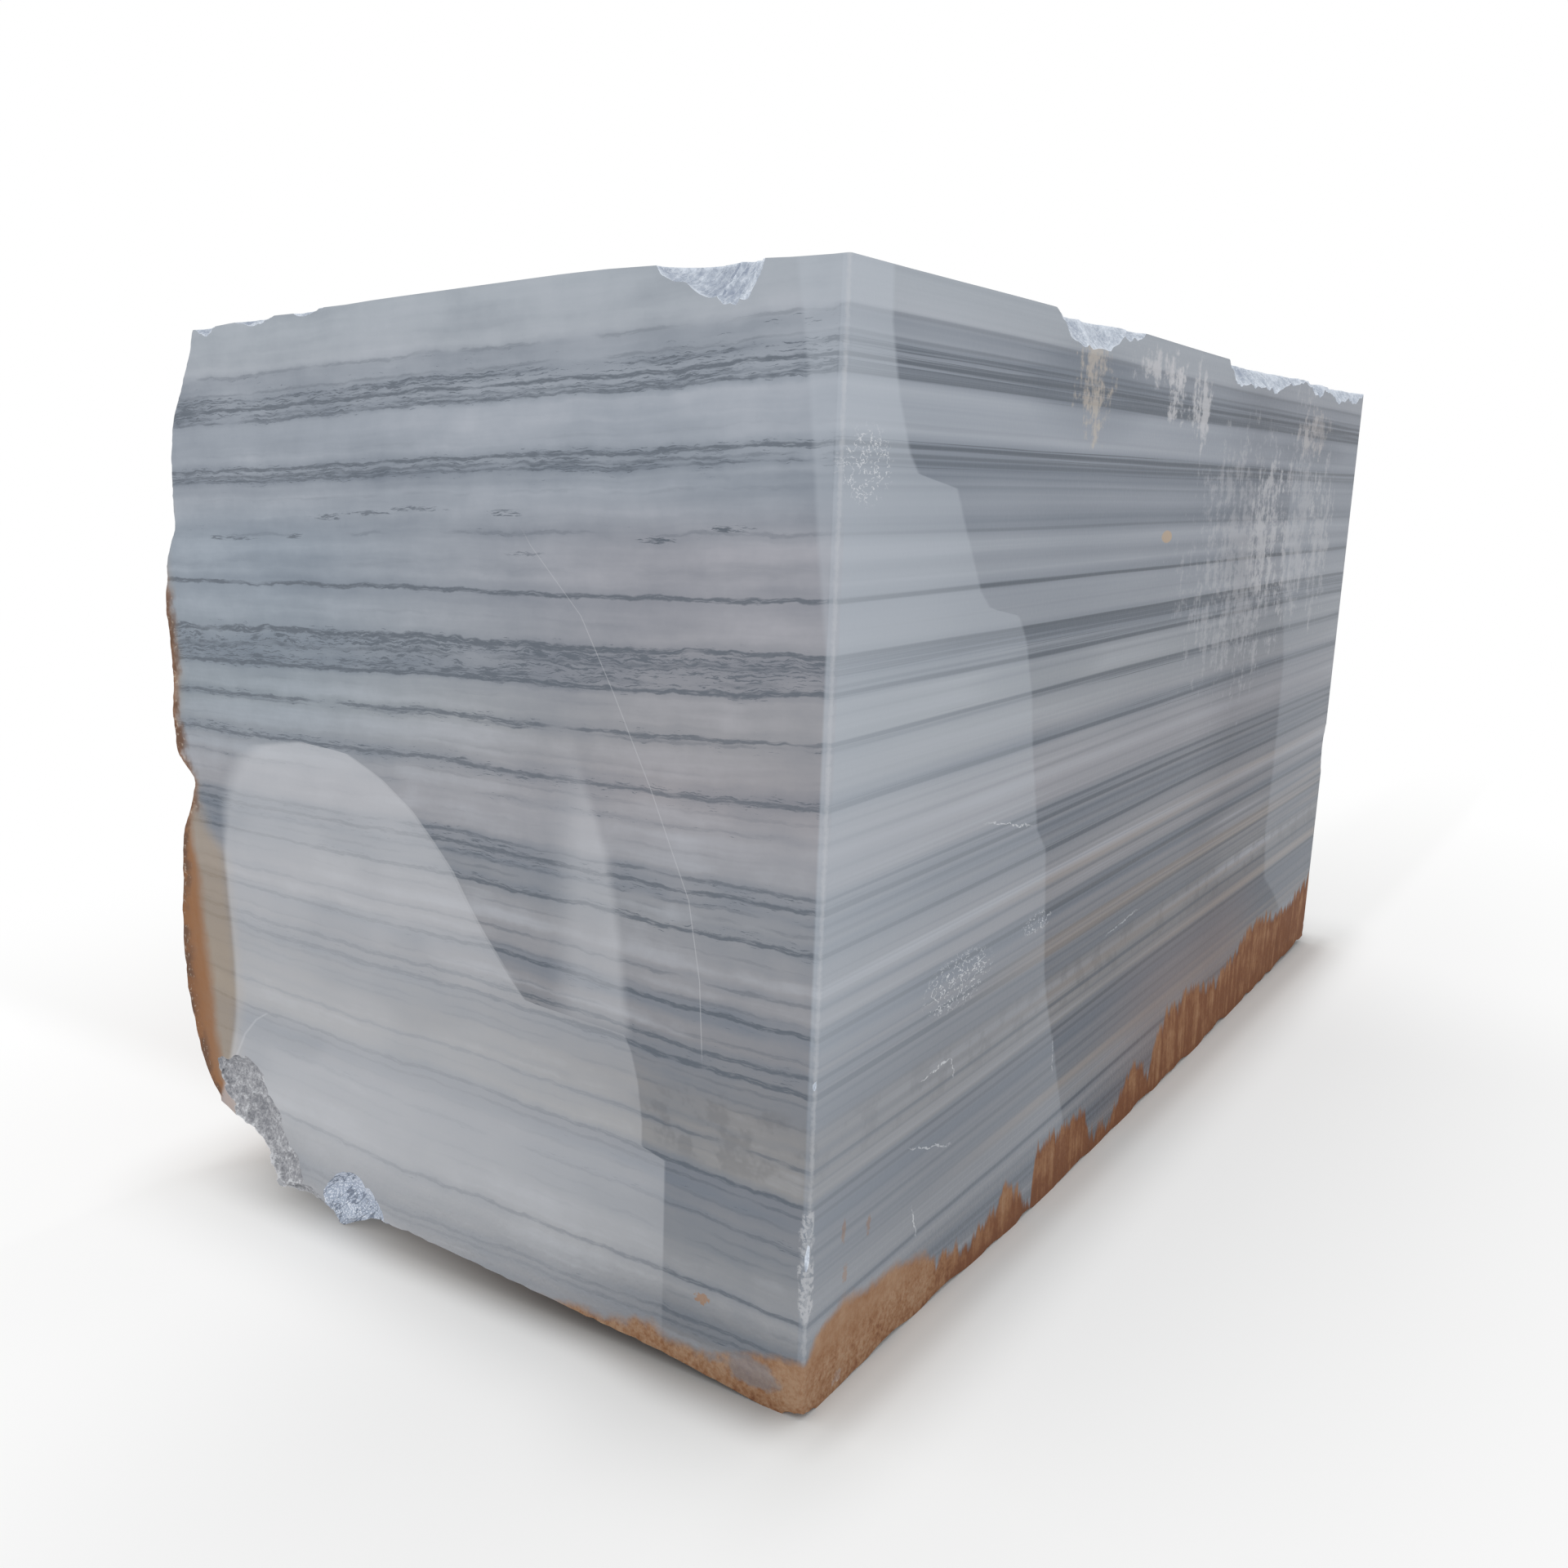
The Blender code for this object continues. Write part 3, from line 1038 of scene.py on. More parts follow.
@dataclass(frozen=True)
class Bedding:
    """Bands, threads and dark wisps that run level through the whole stone."""

    smudges: tuple[Smudge, ...] = (
        Smudge(1.09, 1.424, 0.050), Smudge(0.99, 1.431, 0.070, 0.005), Smudge(0.86, 1.438, 0.075, 0.005),
        Smudge(0.65, 1.431, 0.045, 0.006, 0.9), Smudge(1.38, 1.383, 0.085, 0.005), Smudge(1.19, 1.389, 0.030),
        Smudge(0.60, 1.365, 0.045, 0.005, 0.6),
        Smudge(0.33, 1.391, 0.040, 0.007, 0.9), Smudge(0.19, 1.409, 0.045, 0.007, 0.9),
    )

    layers: tuple[Layer, ...] = (
        Layer(0.040, 0.006, 0.30, 0.20, 0.12, 0.010),
        Layer(0.083, 0.0018, 0.60), Layer(0.098, 0.0024, 0.80),
        Layer(0.091, 0.014, 0.0, 0.34, 0.46, 0.014), Layer(0.130, 0.0014, 0.20),
        Layer(0.165, 0.0024, 0.85), Layer(0.164, 0.004, 0.0, 0.20, 0.32, 0.014),
        Layer(0.218, 0.0014, 0.25), Layer(0.240, 0.0016, 0.30), Layer(0.262, 0.0014, 0.24),
        Layer(0.285, 0.050, 0.0, 0.10, 0.26, 0.016), Layer(0.288, 0.0022, 0.55),
        Layer(0.290, 0.006, 0.0, 0.42, 0.16, 0.008), Layer(0.322, 0.0016, 0.34),
        Layer(0.348, 0.0020, 0.60), Layer(0.352, 0.022, 0.0, 0.10, 0.46, 0.012),
        Layer(0.367, 0.0026, 0.95), Layer(0.405, 0.0014, 0.22),
        Layer(0.430, 0.0024, 0.72), Layer(0.430, 0.004, 0.0, 0.10, 0.30, 0.010),
        Layer(0.456, 0.003, 0.16, 0.0, 0.12, 0.012), Layer(0.496, 0.0016, 0.36),
        Layer(0.520, 0.020, 0.0, 0.14, 0.32, 0.014), Layer(0.512, 0.0014, 0.30),
        Layer(0.534, 0.0016, 0.40), Layer(0.552, 0.0036, 1.00),
        Layer(0.568, 0.018, 0.0, 0.42, 0.42, 0.012), Layer(0.578, 0.0026, 0.92),
        Layer(0.602, 0.0014, 0.40), Layer(0.620, 0.014, 0.0, 0.06, 0.22, 0.012),
        Layer(0.645, 0.0030, 1.00), Layer(0.645, 0.009, 0.0, 0.34, 0.58, 0.018),
        Layer(0.660, 0.0014, 0.40), Layer(0.694, 0.0020, 0.50), Layer(0.696, 0.005, 0.0, 0.06, 0.22, 0.012),
        Layer(0.722, 0.006, 0.0, 0.0, -0.18, 0.009), Layer(0.748, 0.0014, 0.26),
        Layer(0.781, 0.0026, 0.95), Layer(0.782, 0.005, 0.0, 0.50, 0.26, 0.014),
        Layer(0.808, 0.0018, 0.42), Layer(0.810, 0.016, 0.0, 0.16, 0.30, 0.010),
        Layer(0.826, 0.0016, 0.46), Layer(0.846, 0.0026, 0.90),
        Layer(0.850, 0.018, 0.0, 0.50, 0.44, 0.014), Layer(0.866, 0.0020, 0.70),
        Layer(0.910, 0.0014, 0.14), Layer(0.952, 0.0016, 0.24), Layer(0.951, 0.004, 0.0, 0.30, 0.10, 0.008),
        Layer(0.978, 0.0014, 0.20), Layer(1.002, 0.0026, 0.80), Layer(1.003, 0.007, 0.0, 0.62, 0.40, 0.022),
        Layer(1.040, 0.0014, 0.12), Layer(1.088, 0.0014, 0.40), Layer(1.096, 0.0024, 0.86),
        Layer(1.094, 0.006, 0.0, 0.62, 0.32, 0.016), Layer(1.140, 0.0014, 0.12),
        Layer(1.168, 0.0026, 0.95), Layer(1.188, 0.022, 0.0, 0.74, 0.42, 0.012),
        Layer(1.180, 0.0014, 0.40), Layer(1.203, 0.0018, 0.60),
        Layer(1.223, 0.0028, 1.00), Layer(1.223, 0.005, 0.0, 0.56, 0.24, 0.012),
        Layer(1.262, 0.0014, 0.10), Layer(1.303, 0.0024, 0.95), Layer(1.303, 0.005, 0.0, 0.14, 0.34, 0.020),
        Layer(1.345, 0.006, 0.10, 0.0, 0.12, 0.014), Layer(1.402, 0.0016, 0.34),
        Layer(1.408, 0.008, 0.0, 0.14, 0.26, 0.020), Layer(1.470, 0.0014, 0.16),
        Layer(1.497, 0.010, 0.0, 0.14, 0.32, 0.012), Layer(1.508, 0.0016, 0.62), Layer(1.517, 0.0018, 0.70),
        Layer(1.530, 0.0020, 0.92), Layer(1.522, 0.014, 0.0, 0.60, 0.36, 0.014),
        Layer(1.560, 0.0014, 0.10), Layer(1.627, 0.0020, 0.70), Layer(1.636, 0.0016, 0.50),
        Layer(1.650, 0.0022, 0.95), Layer(1.647, 0.021, 0.0, 0.70, 0.34, 0.012),
        Layer(1.668, 0.0014, 0.46), Layer(1.680, 0.0014, 0.40), Layer(1.690, 0.016, 0.0, 0.26, 0.28, 0.014),
        Layer(1.711, 0.0016, 0.36),
    )
    pools: tuple[tuple[Pair, Pair, float], ...] = (
        ((0.04, 1.450), (0.34, 0.050), 0.55), ((1.00, 1.080), (0.50, 0.060), -0.28),
        ((1.36, 0.820), (0.24, 0.130), 0.45), ((0.75, 0.095), (0.55, 0.040), -0.40),
        ((0.75, 0.430), (0.45, 0.040), 0.30), ((0.65, 0.610), (0.65, 0.040), -0.32),
        ((0.26, 0.800), (0.36, 0.040), -0.32),
    )
    side_pools: tuple[tuple[Pair, Pair, float], ...] = (
        ((0.90, 1.650), (0.36, 0.110), 0.42), ((0.75, 1.140), (0.36, 0.050), 0.42),
        ((2.20, 0.540), (0.50, 0.130), -0.50), ((2.00, 1.300), (0.26, 0.080), 0.42),
        ((2.55, 1.590), (0.45, 0.060), 0.50),
    )
    tilt: tuple[Pair, ...] = (
        (0.0, 0.0), (0.10, 0.005), (0.17, 0.030), (0.35, 0.052), (0.50, 0.042),
        (0.60, 0.037), (0.66, 0.036), (0.80, 0.013), (1.00, -0.003), (1.10, -0.018),
        (1.17, -0.024), (1.22, -0.011), (1.30, -0.007), (1.53, -0.017), (1.65, -0.023),
        (1.80, -0.020),
    )
    beds: tuple[tuple[float, Triple], ...] = (
        (0.00, tone(122, 123, 127)), (0.11, tone(124, 127, 132)), (0.150, tone(148, 150, 154)),
        (0.24, tone(132, 135, 140)), (0.362, tone(123, 126, 133)), (0.374, tone(140, 140, 141)),
        (0.490, tone(132, 132, 134)), (0.60, tone(133, 134, 139)), (0.71, tone(145, 146, 151)),
        (0.80, tone(137, 140, 146)), (0.92, tone(151, 152, 158)), (1.10, tone(147, 152, 158)),
        (1.30, tone(147, 153, 162)), (1.60, tone(150, 157, 167)), (1.712, tone(153, 159, 168)),
        (1.720, tone(160, 166, 174)), (1.80, tone(162, 169, 177)),
    )
    dark: Triple = tone(84, 92, 102)
    slate: Triple = tone(106, 115, 127)
    pale: Triple = tone(186, 190, 198)
    mottle: Triple = tone(104, 104, 106)
    blush: Triple = (1.0, 0.935, 0.92)
    chill: Triple = (0.88, 0.93, 0.96)
    most_stops: int = 30
    highest: float = 1.83
    shade_base: float = 0.35

    def strengths(self, at: float) -> Triple:
        """Add up wisps, shade and threads at one level.

        Args:
            at: the height in the bedding.

        Returns:
            Wisps, shade and thread, each from 0 to 1.
        """
        near = [(layer, layer.share(at)) for layer in self.layers]
        wisps = sum(layer.wisps * part for layer, part in near)
        shade = self.shade_base + sum(layer.shade * part for layer, part in near)
        line = max(layer.line * part for layer, part in near)
        return (min(1.0, wisps), min(1.0, max(0.0, shade)), line)

    def drawn(self, bench: Bench, level: Field) -> tuple[Field, Field, Field]:
        """Read all the layers over the level.

        Args:
            bench: the finish's nodes.
            level: the height in the bedding.

        Returns:
            How many wisps there are, how deep the shade is, and the threads.
        """
        corners = {round(at, 4) for layer in self.layers for at in layer.corners()}
        corners |= {0.0, self.highest}
        stops = [(at, self.strengths(at)) for at in sorted(corners)]
        result: Colour = (0.0, self.shade_base, 0.0)
        for start in range(0, len(stops) - 1, self.most_stops - 1):
            part = stops[start:start + self.most_stops]
            above = bench.math("GREATER_THAN", level, part[0][0])
            result = bench.blend(above, result, bench.tones(level, part))
        parts = bench.node("ShaderNodeSeparateColor", inputs={0: result})
        wisps, shade, line = (Field(bench, socket) for socket in parts.outputs)
        return wisps, shade - self.shade_base, line

    def lay(self, bench: Bench, place: StonePlace, grains: Grains) -> bpy.types.NodeSocket:
        """Colour the stone by its bedding.

        Args:
            bench: the finish's nodes.
            place: where a spot is on the block.
            grains: the shared grain.

        Returns:
            The banded colour.
        """
        swell = place.grain(bench, (1.7, 0.14, 1.2), detail=1.0)
        ripple = place.grain(bench, (9.0, 0.30, 11.0), roughness=0.6)
        level = place.up - place.front * bench.curve(place.up, self.tilt)
        torn = place.grain(bench, (34.0, 0.8, 60.0), roughness=0.66)
        level = level + (swell - 0.5) * 0.034 + (ripple - 0.5) * 0.018 + (torn - 0.5) * 0.009
        wisps, shade, line = self.drawn(bench, level)
        streaks = place.grain(bench, (1.3, 0.09, 26.0), level, 3.0, 0.66)
        crowd = place.grain(bench, (27.0, 0.45, 330.0), level, 4.0, 0.68)
        gaps = place.grain(bench, (5.0, 0.35, 34.0), level, 2.0)
        base = bench.tones(level + (grains.cloud - 0.5) * 0.03, self.beds)
        lower = bench.step(place.up, 1.1, 0.7) * place.on_side
        tide = (streaks - 0.5) * (lower * 1.3 + place.on_side * 0.5 + 0.9) + (grains.cloud - 0.5) * 1.3
        tide = tide + shade * (gaps * 1.2 + 0.6) * (place.on_side * 0.7 + 0.8) + (gaps - 0.5) * 0.30
        tide = tide + (grains.blot - 0.5) * place.on_front * 0.50 + wisps * place.on_front * 0.16
        for spot, pools in ((place.front_spot, self.pools), (place.side_spot, self.side_pools)):
            for centre, size, share in pools:
                tide = tide + bench.step(bench.oval(spot, centre, size), 1.0, 0.0, share)
        colour = bench.blend(tide.share() * 0.85, base, self.slate)
        colour = bench.blend((-tide).share() * 0.9, colour, self.pale)
        belt = place.on_front * bench.step(place.up, 0.90, 1.02) * bench.step(place.up, 1.48, 1.36)
        warmed = belt * bench.step(place.front, 0.95, 0.25)
        colour = bench.blend(warmed, colour, self.blush, "MULTIPLY")
        cooled = belt * bench.step(place.front, 0.75, 1.30)
        colour = bench.blend(cooled, colour, self.chill, "MULTIPLY")
        mottled = bench.step(bench.oval(place.front_spot, (0.15, 0.455), (0.24, 0.075)), 1.0, 0.5)
        mottled = mottled * bench.step(grains.blot, 0.50, 0.62, 0.34)
        colour = bench.blend(mottled, colour, self.mottle)
        edge = 0.70 - wisps * 0.25 - (gaps - 0.5) * 0.36 - (streaks - 0.5) * 0.2
        specks = bench.step(crowd, edge, edge + 0.055) * bench.step(wisps, 0.02, 0.20) * 0.74
        ragged = bench.step(crowd + place.on_side * 0.3, 0.38, 0.50) * 0.70 + 0.30
        thread = line * ragged * bench.step(gaps + place.on_side * 0.20 + line * 0.22, 0.46, 0.62)
        marks = specks.most(thread * (place.on_side * 0.12 + 0.82))
        frayed = (0.56 - crowd) * 9.0 + (torn - 0.5) * 2.0
        for one in self.smudges:
            away = bench.oval(place.front_spot, (one.along, one.up), (one.long, one.thick))
            marks = marks.most(bench.step(away + frayed.most(away - 1.6), 1.2, 0.2, one.strength))
        return bench.blend(marks, colour, self.dark)


@dataclass(frozen=True)
class PaintedSkyReflection:
    """Painted reflection of a bright sky on the glossy sawn faces, in long curved fields."""

    pale: Triple = tone(198, 200, 205)
    reflection_cool: Triple = tone(178, 185, 194)
    rim: Triple = tone(200, 202, 206)
    arch_right: tuple[Pair, ...] = (
        (0.0, 0.285), (0.375, 0.285), (0.388, 0.335), (0.43, 0.335), (0.50, 0.345),
        (0.55, 0.36), (0.578, 0.375), (0.592, 0.60), (0.63, 0.64), (0.70, 0.705),
        (0.75, 0.745), (0.80, 0.78), (0.85, 0.83), (0.90, 0.885), (0.95, 0.965),
        (0.99, 1.06), (1.00, 1.20), (1.02, 1.50),
    )
    arch_left: tuple[Pair, ...] = (
        (0.0, 1.60), (0.20, 1.50), (0.25, 1.482), (0.30, 1.462), (0.36, 1.445), (0.42, 1.435),
        (0.50, 1.432), (0.60, 1.44), (0.75, 1.45), (0.85, 1.44), (0.90, 1.42), (0.95, 1.38),
        (0.98, 1.32), (1.00, 1.20), (1.02, 1.06),
    )
    low_bow: tuple[Pair, ...] = ((0.25, 1.475), (0.30, 1.440), (0.36, 1.405), (0.40, 1.365), (0.42, 1.330))
    band_right: tuple[Pair, ...] = (
        (0.55, 0.36), (0.62, 0.375), (0.70, 0.385), (0.80, 0.40), (0.88, 0.42),
        (0.93, 0.44), (1.00, 0.47), (1.08, 0.505),
    )
    reflection_strength: tuple[Pair, ...] = ((0.28, 0.24), (0.45, 0.31), (0.70, 0.39), (1.00, 0.47), (1.40, 0.48))
    side_reflection_strength: tuple[Pair, ...] = (
        (0.0, 0.52), (0.12, 0.44), (0.40, 0.30), (0.80, 0.22), (1.05, 0.18))
    corner_strip: tuple[Pair, ...] = (
        (1.10, -0.005), (1.20, 0.008), (1.30, 0.022), (1.40, 0.035), (1.50, 0.045),
        (1.60, 0.057), (1.70, 0.072), (1.80, 0.090),
    )
    side_near: tuple[Pair, ...] = (
        (0.0, 1.05), (0.25, 0.97), (0.35, 0.93), (0.46, 0.88), (0.52, 0.86),
        (0.65, 0.84), (0.78, 0.82), (0.83, 0.77), (0.90, 0.75), (1.00, 0.72),
        (1.10, 0.70), (1.20, 0.66), (1.25, 0.62), (1.27, 0.50), (1.30, 0.46),
        (1.42, 0.38), (1.47, 0.35), (1.49, 0.22), (1.52, 0.19), (1.60, 0.15),
        (1.70, 0.12), (1.80, 0.115),
    )
    side_far: tuple[Pair, ...] = (
        (0.0, 3.00), (0.28, 2.62), (0.35, 2.50), (0.50, 2.46), (0.70, 2.47),
        (1.00, 2.46), (1.10, 2.42), (1.30, 2.33), (1.55, 2.36), (1.60, 2.50),
    )

    def front(self, bench: Bench, place: StonePlace, grains: Grains) -> Field:
        """Give how strong the painted sky reflection is on the banded end face.

        Args:
            bench: the finish's nodes.
            place: where a spot is on the block.
            grains: the shared grain.

        Returns:
            The strength of the painted reflection, 0 to 1.
        """
        # Painted reflection: a pale arch and band of reflected sky on the end face, made patchy by cloud
        # grain.
        right = bench.curve(place.up, self.arch_right)
        left = bench.curve(place.up, self.arch_left)
        arch = bench.step(place.front, right, right + 0.006)
        blur = bench.step(place.up, 0.72, 0.95) * 0.030
        stray = place.front + (grains.cloud - 0.5) * 0.02
        arch = arch * bench.step(stray, left + 0.006 + blur, left - 0.012 - blur)
        edge = bench.curve(place.up, self.band_right)
        band = bench.step(place.front, edge - 0.012, edge + 0.016) * bench.step(place.front, 0.560, 0.470)
        band = band * bench.step(place.up, 1.12, 0.90) * bench.step(place.up, 0.56, 0.60)
        thick = bench.curve(place.front, self.reflection_strength) + bench.line(place.up, 0.28, 0.05, 0.06) * 0.10
        thick = thick - bench.step(place.front, 0.60, 0.30) * bench.step(place.up, 0.26, 0.10) * 0.14
        patchy = bench.step(grains.cloud, 0.62, 0.46) * 0.16 + 0.84
        return (arch * thick).most(band * 0.34) * patchy * place.on_front

    def side(self, bench: Bench, place: StonePlace) -> Field:
        """Give how strong the painted sky reflection is on the long side.

        Args:
            bench: the finish's nodes.
            place: where a spot is on the block.

        Returns:
            The strength of the painted reflection, 0 to 1.
        """
        # Painted reflection: a pale field near the corner of the long side and a faint veil far along it.
        near = bench.curve(place.up, self.side_near)
        far = bench.curve(place.up, self.side_far)
        pale = bench.step(place.side, near + 0.010, near - 0.004)
        pale = pale * bench.curve(place.side, self.side_reflection_strength)
        pale = pale * (1.0 - bench.step(place.up, 0.75, 0.40) * bench.step(place.side, 1.0, 0.3) * 0.42)
        veil = bench.step(place.side, far - 0.014, far + 0.020) * bench.step(place.up, 1.60, 1.50) * 0.16
        return pale.most(veil) * place.on_side

    def spread(self, bench: Bench, place: StonePlace, grains: Grains, base: Colour) -> bpy.types.NodeSocket:
        """Paint the sky reflection over a colour, with a pale rim along its arch.

        Args:
            bench: the finish's nodes.
            place: where a spot is on the block.
            grains: the shared grain.
            base: the colour underneath.

        Returns:
            The colour with the film on it.
        """
        # Painted reflection: a cool strip beside the near corner of the end face, together with the side's
        # field.
        strip_edge = bench.curve(place.up, self.corner_strip)
        strip = bench.step(place.front, strip_edge + 0.006, strip_edge - 0.006) * place.on_front * 0.30
        colour = bench.blend(self.front(bench, place, grains), base, self.pale)
        colour = bench.blend(strip.most(self.side(bench, place)), colour, self.reflection_cool)
        # Painted reflection: a pale rim along the edge of the reflected arch and its lower bow.
        rim = bench.line(place.front, bench.curve(place.up, self.arch_right), 0.0012, 0.003)
        rim = rim * bench.step(place.up, 0.60, 0.70) * bench.step(place.up, 1.00, 0.97)
        bow = bench.line(place.front, bench.curve(place.up, self.low_bow), 0.0012, 0.004)
        bow = bow * bench.step(place.up, 0.24, 0.28) * bench.step(place.up, 0.425, 0.415)
        rim = rim.most(bow) * place.on_front
        return bench.blend(rim * 0.30, colour, self.rim)


@dataclass(frozen=True)
class Run:
    """An oval patch of dried lime, or of fine rubs."""

    along: float
    up: float
    wide: float
    tall: float
    strength: float
    colour: Triple = tone(184, 184, 188)


@dataclass(frozen=True)
class LimeRuns:
    """Pale mineral runs and rubs on the long side."""

    runs: tuple[Run, ...] = (
        Run(0.90, 1.675, 0.070, 0.090, 0.60, tone(182, 172, 160)),
        Run(1.26, 1.720, 0.130, 0.036, 0.75),
        Run(1.37, 1.680, 0.045, 0.060, 0.72),
        Run(1.53, 1.665, 0.060, 0.075, 0.72),
        Run(1.96, 1.30, 0.34, 0.25, 0.30),
        Run(2.14, 1.38, 0.11, 0.15, 0.36),
        Run(2.45, 1.40, 0.14, 0.28, 0.30),
        Run(2.71, 1.34, 0.11, 0.20, 0.34),
        Run(2.52, 1.64, 0.15, 0.06, 0.36, tone(176, 170, 168)),
    )
    rubs: tuple[Run, ...] = (
        Run(0.47, 0.61, 0.13, 0.050, 0.70), Run(0.81, 0.635, 0.07, 0.020, 0.66),
        Run(0.07, 1.500, 0.07, 0.055, 0.60),
    )
    stroke_half: float = 0.0026
    strokes: tuple[tuple[Pair, Pair, float], ...] = (
        ((0.53, 0.888), (0.76, 0.840), 0.65), ((0.34, 0.462), (0.46, 0.470), 0.75),
        ((0.455, 0.470), (0.475, 0.425), 0.60), ((0.31, 0.350), (0.48, 0.290), 0.60),
        ((0.335, 0.230), (0.360, 0.160), 0.70), ((0.935, 0.360), (0.945, 0.265), 0.50),
        ((1.19, 0.503), (1.42, 0.518), 0.40),
    )
    chalk: Triple = tone(216, 218, 222)
    rust_spot: Triple = tone(176, 148, 112)

    def spread(self, bench: Bench, place: StonePlace, grains: Grains, base: Colour) -> bpy.types.NodeSocket:
        """Lay the runs and the scratches over a colour.

        Args:
            bench: the finish's nodes.
            place: where a spot is on the block.
            grains: the shared grain.
            base: the colour underneath.

        Returns:
            The colour with all of them on it.
        """
        swirl = place.grain(bench, (30.0, 30.0, 55.0), detail=3.0, roughness=0.6)
        hang = grains.drip * 0.24 + grains.blot * 0.38 + grains.grit * 0.14 + swirl * 0.24
        colour = base
        for run in self.runs:
            away = bench.oval(place.side_spot, (run.along, run.up), (run.wide, run.tall))
            share = bench.step(hang - away * 0.055, 0.415, 0.525, run.strength)
            colour = bench.blend(share * place.on_side, colour, run.colour)
        scribble = bench.line(swirl, 0.5, 0.008, 0.012)
        chalk = place.on_front * 0.0
        for run in self.rubs:
            away = bench.oval(place.side_spot, (run.along, run.up), (run.wide, run.tall))
            chalk = chalk.most(scribble * bench.step(away, 1.4, 0.5, run.strength))
        stray = (swirl - 0.5) * 0.020
        shaken = bench.vector(place.side + stray, place.up + stray, 0.0)
        for start, end, strength in self.strokes:
            way = Vector(end) - Vector(start)
            middle = (Vector(start) + Vector(end)) / 2.0
            away = bench.oval(shaken, (middle.x, middle.y), (way.length / 2.0, self.stroke_half),
                              math.atan2(way.y, way.x))
            chalk = chalk.most(bench.step(away, 1.2, 0.2, strength * 0.85))
        chalk = chalk * bench.step(grains.grit, 0.40, 0.52) * place.on_side
        colour = bench.blend(chalk, colour, self.chalk)
        spot = bench.oval(place.side_spot, (1.38, 1.375), (0.035, 0.014)) + grains.blot - 0.5
        return bench.blend(bench.step(spot, 1.1, 0.6, 0.65) * place.on_side, colour, self.rust_spot)


@dataclass(frozen=True)
class Mud:
    """Red-brown mud splashed up the foot and brushed by hand."""

    side_line: tuple[Pair, ...] = (
        (0.0, 0.10), (0.05, 0.145), (0.10, 0.162), (0.20, 0.150), (0.28, 0.140), (0.36, 0.125),
        (0.45, 0.082), (0.55, 0.055), (0.64, 0.060), (0.73, 0.095), (0.79, 0.070), (0.850, 0.020),
        (0.868, 0.125), (1.14, 0.125), (1.17, 0.050), (1.29, 0.030), (1.34, 0.065), (1.40, 0.110),
        (1.49, 0.110), (1.55, 0.065), (1.60, 0.12), (1.67, 0.17), (1.82, 0.19), (1.97, 0.17),
        (2.07, 0.15), (2.22, 0.17), (2.38, 0.22), (2.52, 0.22), (2.65, 0.19), (2.85, 0.19), (3.10, 0.23),
    )
    front_line: tuple[Pair, ...] = (
        (0.0, 0.105), (0.05, 0.100), (0.11, 0.088), (0.15, 0.064), (0.22, 0.050),
        (0.27, 0.054), (0.31, 0.072), (0.345, 0.072), (0.37, 0.052), (0.42, 0.050),
        (0.50, 0.048), (0.54, 0.030), (1.60, 0.02),
    )
    splashes: tuple[Pair, ...] = ((0.105, 0.285), (0.185, 0.262), (0.115, 0.205))
    deep: Triple = tone(102, 63, 38)
    mid: Triple = tone(117, 74, 46)
    clay: Triple = tone(141, 102, 71)
    dry: Triple = tone(160, 129, 102)

    def reach(self, bench: Bench, place: StonePlace, grains: Grains) -> Field:
        """Give how much mud there is at a spot.

        Args:
            bench: the finish's nodes.
            place: where a spot is on the block.
            grains: the shared grain.

        Returns:
            From 0 where the stone is clean to 1 where it is covered.
        """
        bristle = (grains.drip - 0.5) * 0.14 + (grains.blot - 0.5) * 0.04
        near = bench.step(place.side, 0.48, 0.30)
        soft = (grains.cloud - 0.5) * 0.08 + (grains.blot - 0.5) * 0.05
        lumpy = bristle + (soft - bristle) * near
        depth = bench.curve(place.side, self.side_line) + lumpy - place.up
        side = bench.step(depth, -0.010, 0.014) * (1.0 - near)
        side = side + bench.step(depth, -0.014, 0.018) * near
        front_top = bench.curve(place.front, self.front_line)
        front = bench.step(front_top + (grains.blot - 0.5) * 0.05 - place.up, -0.010, 0.016)
        bare = bench.step(grains.cloud, 0.50, 0.60) * 0.55 * bench.step(place.front, 0.28, 0.20)
        front = front * (1.0 - bare)
        other = bench.step(bristle * 1.2 + 0.11 - place.up, -0.010, 0.030)
        elsewhere = (1.0 - place.on_side) * (1.0 - place.on_front)
        thin = bench.oval(place.front_spot, (0.13, 0.052), (0.11, 0.026)) + (grains.blot - 0.5) * 5.0
        front = front * (1.0 - bench.step(thin, 1.2, 0.3, 0.62))
        spatter = (grains.grit - 0.5) * 3.0
        splash = bench.oval(place.front_spot, (0.205, 0.150), (0.016, 0.012))
        front = front.most(bench.step(splash + spatter, 1.0, 0.5, 0.8))
        for centre in self.splashes:
            spot = bench.oval(place.side_spot, centre, (0.009, 0.022))
            side = side.most(bench.step(spot + spatter, 1.0, 0.2, 0.45))
        return (side * place.on_side).most(front * place.on_front).most(other * elsewhere)

    def colour(self, bench: Bench, place: StonePlace, grains: Grains) -> bpy.types.NodeSocket:
        """Give the mud's own uneven colour.

        Args:
            bench: the finish's nodes.
            place: where a spot is on the block.
            grains: the shared grain.

        Returns:
            The colour of the mud.
        """
        near = bench.step(place.side, 0.60, 0.35)
        brushed = (grains.drip - 0.5) * (0.34 - near * 0.28) + (grains.blot - 0.5) * 0.24
        crumbs = (grains.grit - 0.5) * (near * bench.step(place.up, 0.12, 0.05) * 0.24 + 0.08)
        light = near * 0.108 + bench.step(grains.cloud, 0.40, 0.62) * 0.02
        low = bench.step(place.up, 0.03, 0.0) * 0.04
        return bench.tones(brushed + crumbs + light - low + 0.5, (
            (0.34, self.deep), (0.50, self.mid), (0.57, self.clay), (0.67, self.dry)))


